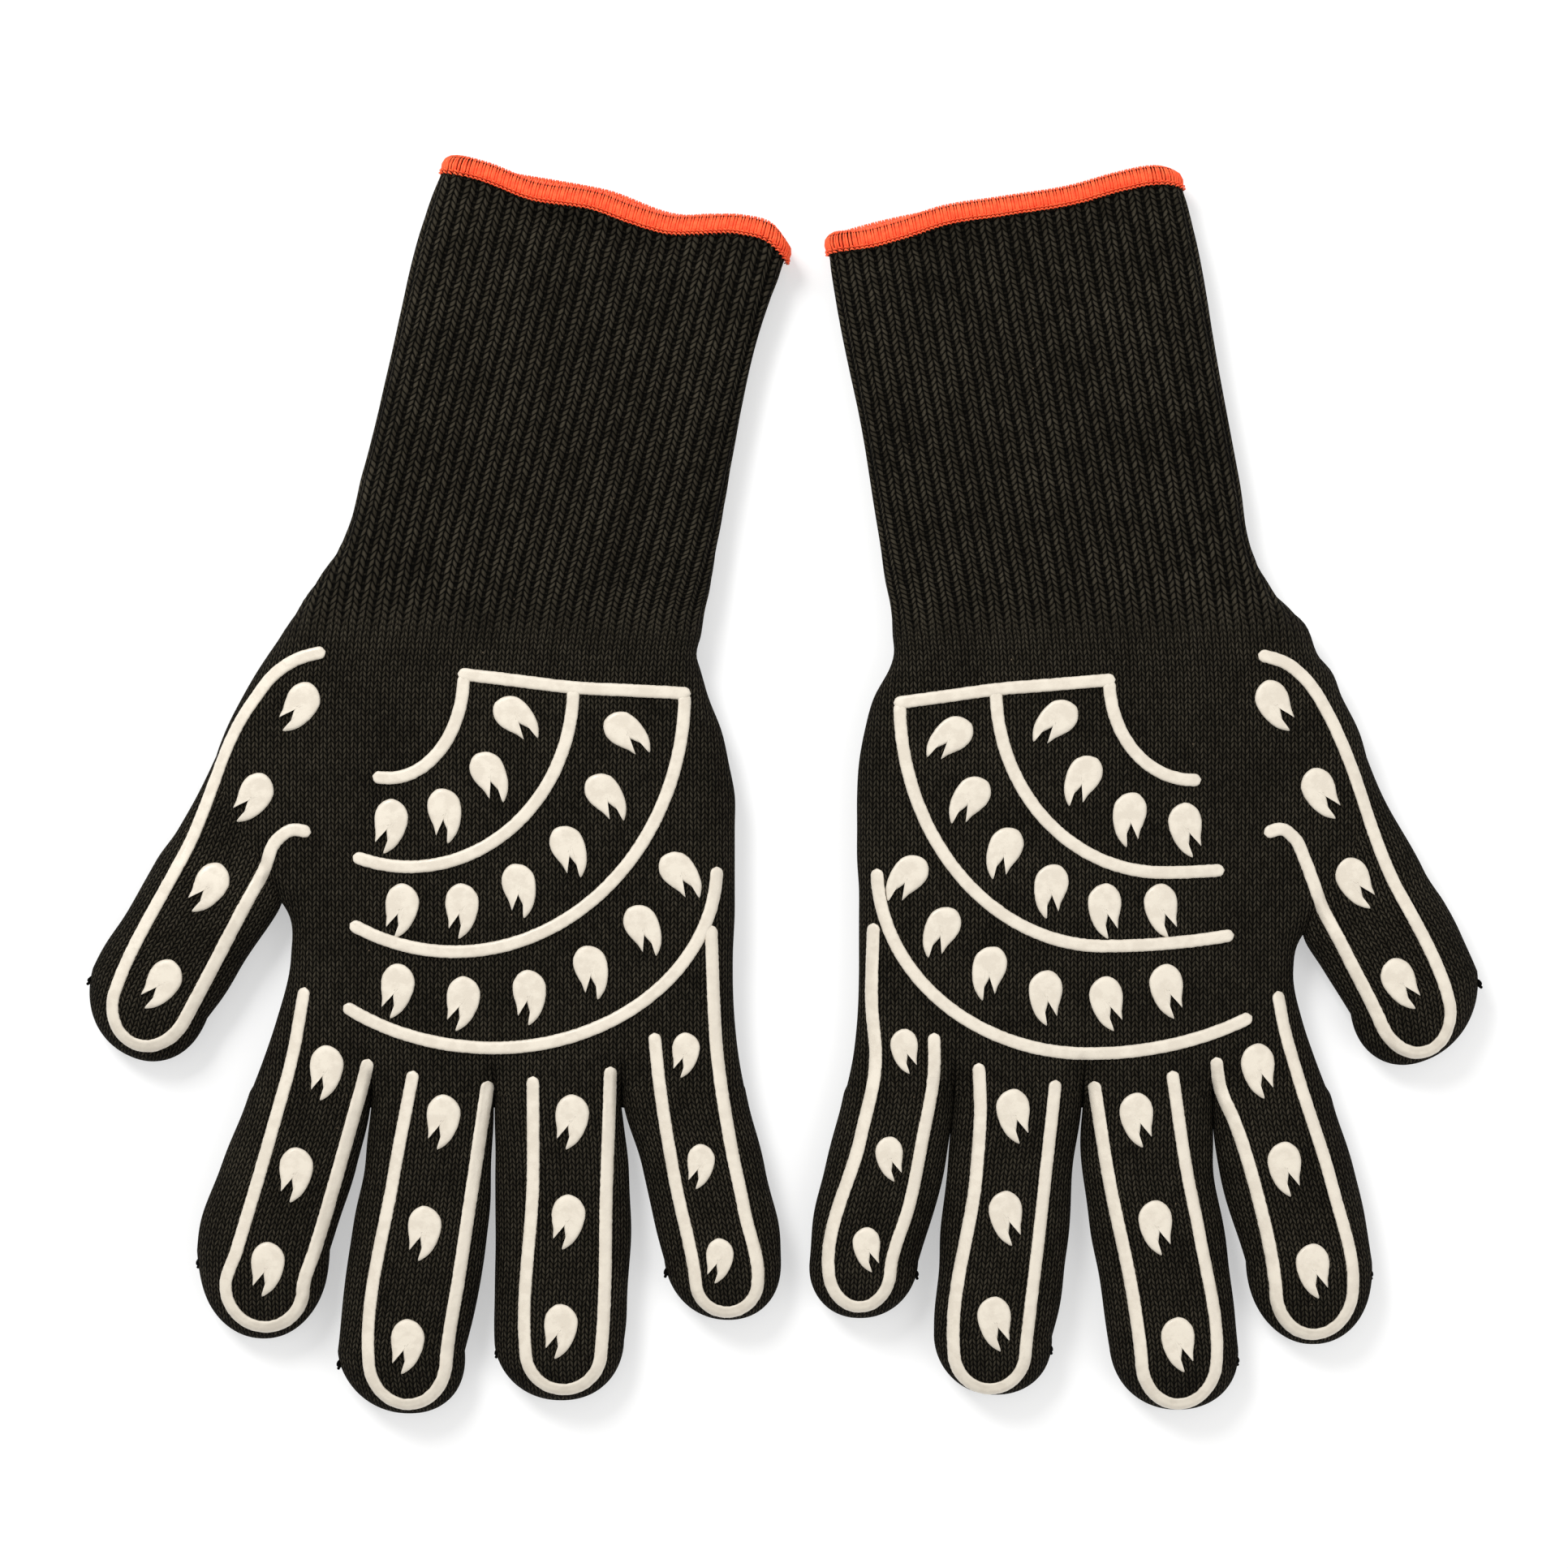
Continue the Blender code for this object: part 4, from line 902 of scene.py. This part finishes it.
def makeEdging(glove, mouth):
    settings, name = edgingSettings, glove["name"]
    outer, normal = mouth["outer"], mouth["normal"]
    side3 = np.array([*mouth["sideways"], 0.0])
    up3 = np.array([*mouth["backwards"], 0.0])
    out3 = normal[:, :1] * side3 + normal[:, 1:] * np.array([0, 0, 1.0])
    half = (skinSettings["wall"] + settings["over"]) / 2
    rim = outer - out3 * half
    radius, deep, inside = settings["threadRadius"], settings["depth"], settings["inside"]
    # Local frame of a stitch: X along the edge, Y towards the inside of the cuff, Z out of the mouth.
    # A stitch starts at the chain, goes over the rim and ends inside.
    wrap = [Vector((0, -half - 0.2, -deep)), Vector((0, -half - 0.55, -deep + 0.9)),
            Vector((0, -half - 0.7, -deep + 2.1)), Vector((0, -half - 0.35, -0.7)),
            Vector((0, -half * 0.6, 0.35)), Vector((0, 0, 0.75)), Vector((0, half * 0.6, 0.35)),
            Vector((0, half + 0.35, -0.9)), Vector((0, half + 0.45, -inside + 1.5)),
            Vector((0, half + 0.1, -inside))]
    thickness = (0.7, 1.0, 1.05, 0.8, 0.66, 0.72, 0.85, 1.0, 1.0, 0.6)
    thread = helperObject("edgingThreadStitch", tubeAlong([point * mm for point in wrap], radius * mm,
                                                          settings["threadSides"], thickness))
    link = [Vector((-0.62, -half - 0.45, -deep + 0.3)), Vector((-0.2, -half - 0.95, -deep + 0.55)),
            Vector((0.25, -half - 0.95, -deep + 0.45)), Vector((0.66, -half - 0.5, -deep + 0.25))]
    chainMesh = bmesh.new()
    for drop, lean in ((0.0, settings["chainLean"]), (settings["chainDrop"], -settings["chainLean"])):
        path = [Vector((point.x, point.y, point.z - drop + lean * point.x)) * mm for point in link]
        rings = []
        for index, point in enumerate(path):
            thin = settings["chainRadius"] * mm * (0.6 if index in (0, len(path) - 1) else 1.0)
            rings.append([chainMesh.verts.new(point + Vector((0, math.cos(a) * thin, math.sin(a) * thin)))
                          for a in turnsRound(settings["chainSides"])])
        joinRings(chainMesh, rings)
    bmesh.ops.recalc_face_normals(chainMesh, faces=chainMesh.faces[:])
    chain = helperObject("edgingChainStitch", chainMesh)
    made = []
    threadValues = {"Seed": settings["seed"], "Spread": 0.012, "Bundle": 3,
                    "Pull": settings["bundlePull"] * mm}
    chainValues = {"Seed": settings["seed"] + 1, "Spread": 0.01, "Bundle": 1, "Pull": 0.0}
    for label, stitch, spacing, values in (("Threads", thread, settings["spacing"], threadValues),
                                           ("Chain", chain, settings["chainSpacing"], chainValues)):
        where = spreadEvenly(rim, spacing)
        points = alongRing(rim, where) * mm
        towards = alongRing(-out3, where)
        towards /= np.linalg.norm(towards, axis=1)[:, None]
        upward = np.broadcast_to(up3, towards.shape)
        tangent = np.cross(towards, upward)
        made.append(bakeStitchRow(f"{name}Edging{label}", points, tangent, upward, stitch, edgingThread,
                                  values))
    for helper in (thread, chain):
        bpy.data.objects.remove(helper)
    # The fold's profile. Its dark material is painted shade that shows through the slits between thread
    # bundles.
    profile = [(-half - 0.05, -deep + 0.2), (-half - 0.25, -deep + 1.6), (-half + 0.1, -0.5), (0, 0.2),
               (half - 0.1, -0.5), (half + 0.15, -inside + 1.6), (half + 0.1, -inside + 0.3),
               (half - 0.6, -inside + 0.3), (0, -1.4), (-half + 0.6, -deep + 0.2)]
    rows = np.array([rim - out3 * inward + up3 * rise for inward, rise in profile]).transpose(1, 0, 2)[::3]
    made.append(loft(f"{name}EdgingFold", rows, np.zeros((len(rows), len(profile) + 1, 2)), True, shadedEdgingCore))
    for piece in made:
        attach(piece, f"{name}_cuff")
    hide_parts(f"{name}_cuff_edging")
    return made


# Silicone

def splineThrough(points, step):
    points = np.asarray(points, float)
    length = np.hstack([[0], np.cumsum(np.linalg.norm(np.diff(points, axis=0), axis=1))])
    wanted = np.linspace(0, length[-1], max(8, int(length[-1] / step)))
    return np.stack([smoothValues(length, points[:, column], wanted) for column in (0, 1)], -1)


def beadAlong(name, path, surface):
    # A raised line with ragged edges and round ends, laid on the knit.
    settings = lineSettings
    forward = np.gradient(path, axis=0)
    forward /= np.linalg.norm(forward, axis=1)[:, None]
    side = np.stack([-forward[:, 1], forward[:, 0]], -1)
    length = np.hstack([[0], np.cumsum(np.linalg.norm(np.diff(path, axis=0), axis=1))])
    fromEnd = np.minimum(length, length[-1] - length)
    endRound = np.sqrt(np.clip(1 - (1 - np.clip(fromEnd / settings["halfWidth"], 0, 1)) ** 2, 0.01, 1))
    offsets, profile = np.array(settings["across"]), settings["profile"]
    heights = np.array([-settings["sunk"], *profile, -settings["sunk"]])
    heights[1:-1] *= settings["height"] / max(profile)
    # Where the knit dips between two fingers, the line spans the dip.
    heart = np.pad([surface(*point) for point in path], settings["span"], mode="edge")
    window = np.lib.stride_tricks.sliding_window_view
    lifted = window(heart, 2 * settings["span"] + 1).max(1)
    lifted = window(np.pad(lifted, settings["span"], mode="edge"), 2 * settings["span"] + 1).mean(1)
    mesh = bmesh.new()
    rings = []
    for index, point in enumerate(path):
        ring, wide = [], settings["halfWidth"] * endRound[index]
        for offset, height in zip(offsets, heights):
            place = point + side[index] * wide * offset
            rag = noise.noise(Vector((place[0] * 1.1, place[1] * 1.1, 3.0))) * settings["ragged"] * 2
            place = place + side[index] * rag * offset * abs(offset)
            lump = 0.05 * noise.noise(Vector((place[0] * 0.35, place[1] * 0.35, 9.0)))
            base = max(surface(place[0], place[1]), lifted[index] - 0.3 - 1.9 * offset**2)
            tall = height * (0.45 + 0.55 * endRound[index])
            ring.append(mesh.verts.new(Vector((place[0], place[1], base + tall + lump)) * mm))
        under = surface(point[0], point[1]) - settings["sunk"] - 0.3
        ring.append(mesh.verts.new(Vector((point[0], point[1], under)) * mm))
        rings.append(ring)
    joinRings(mesh, rings)
    bmesh.ops.recalc_face_normals(mesh, faces=mesh.faces[:])
    return helperObject(name, mesh)


def closedCurve(points, count):
    # A smooth closed curve through points, as evenly numbered places.
    points = np.asarray(points, float)
    size = len(points)
    t = np.arange(count) * size / count
    k = np.floor(t).astype(int)
    f = (t - k)[:, None]
    before, a, b, after = (points[(k + step) % size] for step in (-1, 0, 1, 2))
    return 0.5 * (2 * a + (b - before) * f + (2 * before - 5 * a + 4 * b - after) * f**2
                  + (3 * a - before - 3 * b + after) * f**3)


def makeFlame(name, place, turn, size, surface, mirror):
    # A plain solid flame: a round foot, one bent tongue and a small lick beside it.
    settings = flameSettings
    scale = np.array([settings["length"], settings["width"] * mirror]) * size
    outline, heart = closedCurve(settings["outline"], settings["around"]) * scale, settings["heart"] * scale
    c, s = math.cos(turn), math.sin(turn)
    rotate = np.array([[c, s], [-s, c]])
    outline, heart = outline @ rotate, heart @ rotate
    levels = [(0.0, -settings["sunk"]), *settings["levels"]]
    mesh = bmesh.new()
    rings = []
    for share, height in levels:
        ring = []
        for edge in outline:
            point = np.array(place) + edge * (1 - share) + heart * share
            rag = settings["ragged"] * 2 * noise.noise(Vector((point[0] * 1.3, point[1] * 1.3, 5.0)))
            point = point + (edge / (np.linalg.norm(edge) + 1e-6)) * rag * (1 - share)
            lump = 0.05 * noise.noise(Vector((point[0] * 0.35, point[1] * 0.35, 1.0)))
            ring.append(mesh.verts.new(Vector((*point, surface(*point) + height + lump)) * mm))
        rings.append(ring)
    joinRings(mesh, rings, ends=False)
    size = len(outline)
    for ring, height in ((rings[-1], levels[-1][1]), (rings[0], -settings["sunk"] - 0.3)):
        point = np.array(place) + heart
        middle = mesh.verts.new(Vector((*point, surface(*point) + height)) * mm)
        for k in range(size):
            mesh.faces.new((ring[k], ring[(k + 1) % size], middle))
    bmesh.ops.recalc_face_normals(mesh, faces=mesh.faces[:])
    return helperObject(name, mesh)


def cutAt(obj, name, place, direction, keepFar):
    # The part of a mesh on one side of a plane.
    mesh = bmesh.new()
    mesh.from_mesh(obj.data)
    bmesh.ops.bisect_plane(mesh, geom=mesh.verts[:] + mesh.edges[:] + mesh.faces[:], plane_co=place,
                           plane_no=direction, clear_inner=keepFar, clear_outer=not keepFar)
    if not mesh.verts:
        mesh.free()
        return None
    rim = [edge for edge in mesh.edges if edge.is_boundary]
    for edge in rim:
        edge.smooth = False
    if rim:
        bmesh.ops.holes_fill(mesh, edges=rim, sides=0)
    bmesh.ops.triangulate(mesh, faces=[face for face in mesh.faces if len(face.verts) > 4])
    piece = helperObject(name, mesh)
    piece.data.materials.append(silicone)
    return piece


def arcPoint(arc, sweep, mirror, shift):
    far = arc["farRadius"] if sweep > 90 else arc["radii"][0]
    x = arc["middle"][0] + mirror * far * math.cos(math.radians(sweep))
    y = arc["middle"][1] - arc["radii"][1] * math.sin(math.radians(sweep))
    return np.array([x + shift.x, y + shift.y])


def turnedEnd(first, second, turn):
    # The rounded end of a long U between the ends of its two legs.
    middle, half = (first + second) / 2, (first - second) / 2
    deep = turn - middle
    sweeps = np.radians(np.linspace(12, 168, 14))
    return [middle + half * math.cos(sweep) + deep * math.sin(sweep) for sweep in sweeps]


def heightOver(skins):
    # How high the knit stands at a place, seen from above.
    points, faces = [], []
    for skin in skins:
        start = len(points)
        points += [vertex.co.copy() for vertex in skin.data.vertices]
        faces += [[start + index for index in polygon.vertices] for polygon in skin.data.polygons]
    tree = BVHTree.FromPolygons(points, faces)
    down, above, lowest, beside = Vector((0, 0, -1)), 0.06, 5.0, 7.0

    def surface(x, y):
        hit = tree.ray_cast(Vector((x * mm, y * mm, above)), down)[0]
        return max(hit.z / mm, lowest) if hit is not None else beside

    return surface


def makePalmPrint(glove, shift, surface):
    # Four arcs, the line that joins three of them, and bands of flames between.
    name, mirror, step = glove["name"], glove["mirror"], lineSettings["step"]
    arcs = glove["arcs"]
    beads, starts = [], []
    for key, arc in arcs.items():
        sweeps = np.linspace(0, 90 + arc["runOn"], 90)
        path = np.array([arcPoint(arc, sweep, mirror, shift) for sweep in sweeps])
        path = splineThrough(path, step)
        beads.append(beadAlong(f"{name}Line{key}", path, surface))
        if key != "low":
            starts.append(path[0])
    order = sorted(starts, key=lambda point: point[0])
    bar = splineThrough(np.array([order[0], (order[0] + order[1]) / 2, order[1], (order[1] + order[2]) / 2,
                                  order[2]]), step)
    leaving = (bar[1] - bar[0]) / np.linalg.norm(bar[1] - bar[0])
    arriving = (bar[-1] - bar[-2]) / np.linalg.norm(bar[-1] - bar[-2])
    overrun = lineSettings["overrun"]
    grown = np.array([bar[0] - leaving * overrun, *bar, bar[-1] + arriving * overrun])
    beads.append(beadAlong(f"{name}LineTop", splineThrough(grown, step), surface))
    for band in flameBands:
        first, second = (arcs[key] for key in band["between"])
        between = {"middle": tuple((a + b) / 2 for a, b in zip(first["middle"], second["middle"])),
                   "radii": tuple((a + b) / 2 for a, b in zip(first["radii"], second["radii"])),
                   "farRadius": (first["radii"][0] + second["radii"][0]) / 2}
        for number in range(band["count"]):
            sweep = band["first"] + band["step"] * number
            place = arcPoint(between, sweep, mirror, shift)
            heading = math.radians(-22 - 0.78 * min(sweep, 90))
            if mirror < 0:
                heading = math.pi - heading
            beads.append(makeFlame(f"{name}PalmFlame{number}", place, heading, 1.0, surface, mirror))
    palmPrint = joinMeshes(f"{name}PalmPrint", beads, silicone)
    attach(palmPrint, f"{name}_palm")
    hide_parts(f"{name}_palm_frame", f"{name}_palm_low_line")


def makeDigitPrints(glove, digits, surface):
    # A long open U on each digit with flames inside, cut in two where the shells meet.
    name, mirror = glove["name"], glove["mirror"]
    for key, pieces in digits.items():
        digit, digitFrame = glove["digits"][key], pieces["frame"]

        def placeOf(along, across):
            world = placeOn(digitFrame, along, across) / mm
            return np.array([world.x, world.y])

        first, second = ([placeOf(*point) for point in digit[leg]] for leg in ("first", "second"))
        lowest = placeOf(digit["turn"], (digit["first"][-1][1] + digit["second"][0][1]) / 2)
        path = splineThrough(first + turnedEnd(first[-1], second[0], lowest) + second, lineSettings["step"])
        parts = [beadAlong(f"{name}{key}Line", path, surface)]
        for number, point in enumerate(digit["flames"]):
            ahead = placeOf(point[0] + 3, point[1]) - placeOf(point[0] - 3, point[1])
            heading = math.atan2(ahead[1], ahead[0])
            size = flameSettings["littleSize"] if key == "little" else 1.0
            parts.append(makeFlame(f"{name}{key}Flame{number}", placeOf(*point), heading, size, surface,
                                   mirror))
        whole = joinMeshes(f"{name}{key}Whole", parts)
        direction = Vector((*digitFrame["outwards"], 0))
        place = placeOn(digitFrame, digitFrame["split"])
        base = cutAt(whole, f"{name}{key.title()}BasePrint", place, direction, False)
        tip = cutAt(whole, f"{name}{key.title()}TipPrint", place, direction, True)
        bpy.data.objects.remove(whole)
        if key != "thumb":
            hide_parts(f"{name}_{key}_west_line", f"{name}_{key}_east_line")
        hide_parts(f"{name}_{key}_tip_print")
        bendBase(base, digitFrame, key == "thumb")
        bendTip(tip, digitFrame)


# Loose yarn ends at the fingertips

def makeYarnEnds(glove, digits):
    # A short looped end on the outer corner of each digit.
    name, side, settings = glove["name"], -glove["mirror"], yarnSettings
    sides, steps = settings["sides"], settings["steps"]
    for key, pieces in digits.items():
        digitFrame = pieces["frame"]
        shoulder, west, east = glove["digits"][key]["rows"][-1]
        edge, at = west if side < 0 else east, shoulder + settings["past"]
        mesh = bmesh.new()
        for number in range(settings["turns"]):
            path = []
            for step in range(steps + 1):
                sweep = step / steps * math.pi * 1.3 + number * 1.9
                local = placeOn(digitFrame, at + settings["loop"] * math.cos(sweep) + number * 0.7,
                                edge - side * 0.7 + side * 0.5 * math.sin(sweep * 1.3))
                high = settings["height"] + 1.1 * math.sin(sweep) + number * 0.5
                path.append(Vector((local.x, local.y, high * mm)))
            rings = []
            for index, point in enumerate(path):
                before, after = path[max(0, index - 1)], path[min(steps, index + 1)]
                forward = (after - before).normalized()
                across = forward.orthogonal().normalized()
                up = forward.cross(across)
                rings.append([mesh.verts.new(point + (across * math.cos(a) + up * math.sin(a))
                                             * settings["radius"] * mm) for a in turnsRound(sides)])
            for first, second in zip(rings, rings[1:]):
                best = min(range(sides), key=lambda turn: (second[turn].co - first[0].co).length)
                for k in range(sides):
                    mesh.faces.new((first[k], first[(k + 1) % sides], second[(best + k + 1) % sides],
                                    second[(best + k) % sides]))
            mesh.faces.new(rings[0])
            mesh.faces.new(rings[-1])
        bmesh.ops.recalc_face_normals(mesh, faces=mesh.faces[:])
        knot = joinMeshes(f"{name}{key.title()}YarnEnd", [helperObject(f"{name}{key}Knot", mesh)], knit)
        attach(knot, f"{name}_{key}_tip")


# Build both gloves

for glove in gloves:
    name = glove["name"]
    indexRoot = jointAt[f"{name}_index_root"]["pos_m"]
    drawnAt = glove["indexRoot"]
    shift = Vector((indexRoot[0] / mm - drawnAt[0], indexRoot[1] / mm - drawnAt[1], 0))
    bodySkins, mouth = makeBody(glove, shift)
    digits = {key: digitPieces(glove, key, shift) for key in glove["digits"]}
    print(name, "shells made")
    skins = bodySkins + [pieces[part] for pieces in digits.values() for part in ("base", "tip")]
    surface = heightOver(skins)
    makePalmPrint(glove, shift, surface)
    makeDigitPrints(glove, digits, surface)
    print(name, "silicone made")
    makeYarnEnds(glove, digits)
    for key, pieces in digits.items():
        digitFrame = pieces["frame"]
        for part, node in (("base", "base_knit"), ("tip", "tip_knit")):
            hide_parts(f"{name}_{key}_{node}")
        bendBase(pieces["base"], digitFrame, key == "thumb")
        bendTip(pieces["tip"], digitFrame)
    makeEdging(glove, mouth)
    print(name, "edging made")


# Floor, light and camera

stageSettings = {
    "reach": 12, "under": 0.0004, "floor": (0.6, 0.6, 0.597, 1), "glow": 0.42, "world": 0.64,
    "lamps": {"key": {"place": (-0.55, 0.85, 0.95), "size": 0.5, "power": 14.5},
              "fill": {"place": (0.9, -0.3, 1.0), "size": 0.9, "power": 4.5}},
    "lens": 85, "sensor": 36, "viewWidth": 0.4183, "aimHeight": 0.008,
}


def makeStage():
    settings = stageSettings
    far, white = settings["reach"], (1, 1, 1, 1)
    floorMesh = bpy.data.meshes.new("floor")
    corners = [(-far, -far, 0), (far, -far, 0), (far, far, 0), (-far, far, 0)]
    floorMesh.from_pydata(corners, [], [(0, 1, 2, 3)])
    floor = addObject("floor", floorMesh)
    floor.location.z = -settings["under"]
    material, _, shader = newMaterial("pale floor")
    shader.inputs["Base Color"].default_value = settings["floor"]
    shader.inputs["Emission Color"].default_value = white
    shader.inputs["Emission Strength"].default_value = settings["glow"]
    shader.inputs["Roughness"].default_value = 0.9
    floorMesh.materials.append(material)
    world = bpy.data.worlds.new("studio")
    world.use_nodes = True
    background = world.node_tree.nodes["Background"]
    background.inputs["Color"].default_value = white
    background.inputs["Strength"].default_value = settings["world"]
    bpy.context.scene.world = world
    for label, values in settings["lamps"].items():
        light = bpy.data.lights.new(label, "AREA")
        light.size = values["size"]
        light.energy = values["power"]
        lamp = addObject(label, light)
        lamp.location = values["place"]
        lamp.rotation_euler = (-Vector(values["place"])).to_track_quat("-Z", "Y").to_euler()
    camera = bpy.data.cameras.new("camera")
    camera.lens = settings["lens"]
    camera.sensor_width = settings["sensor"]
    viewer = addObject("camera", camera)
    distance = settings["viewWidth"] * camera.lens / camera.sensor_width
    viewer.location = (0, 0, distance + settings["aimHeight"])
    bpy.context.scene.camera = viewer
    bpy.context.scene.view_settings.view_transform = "Standard"


makeStage()
print("stage made")
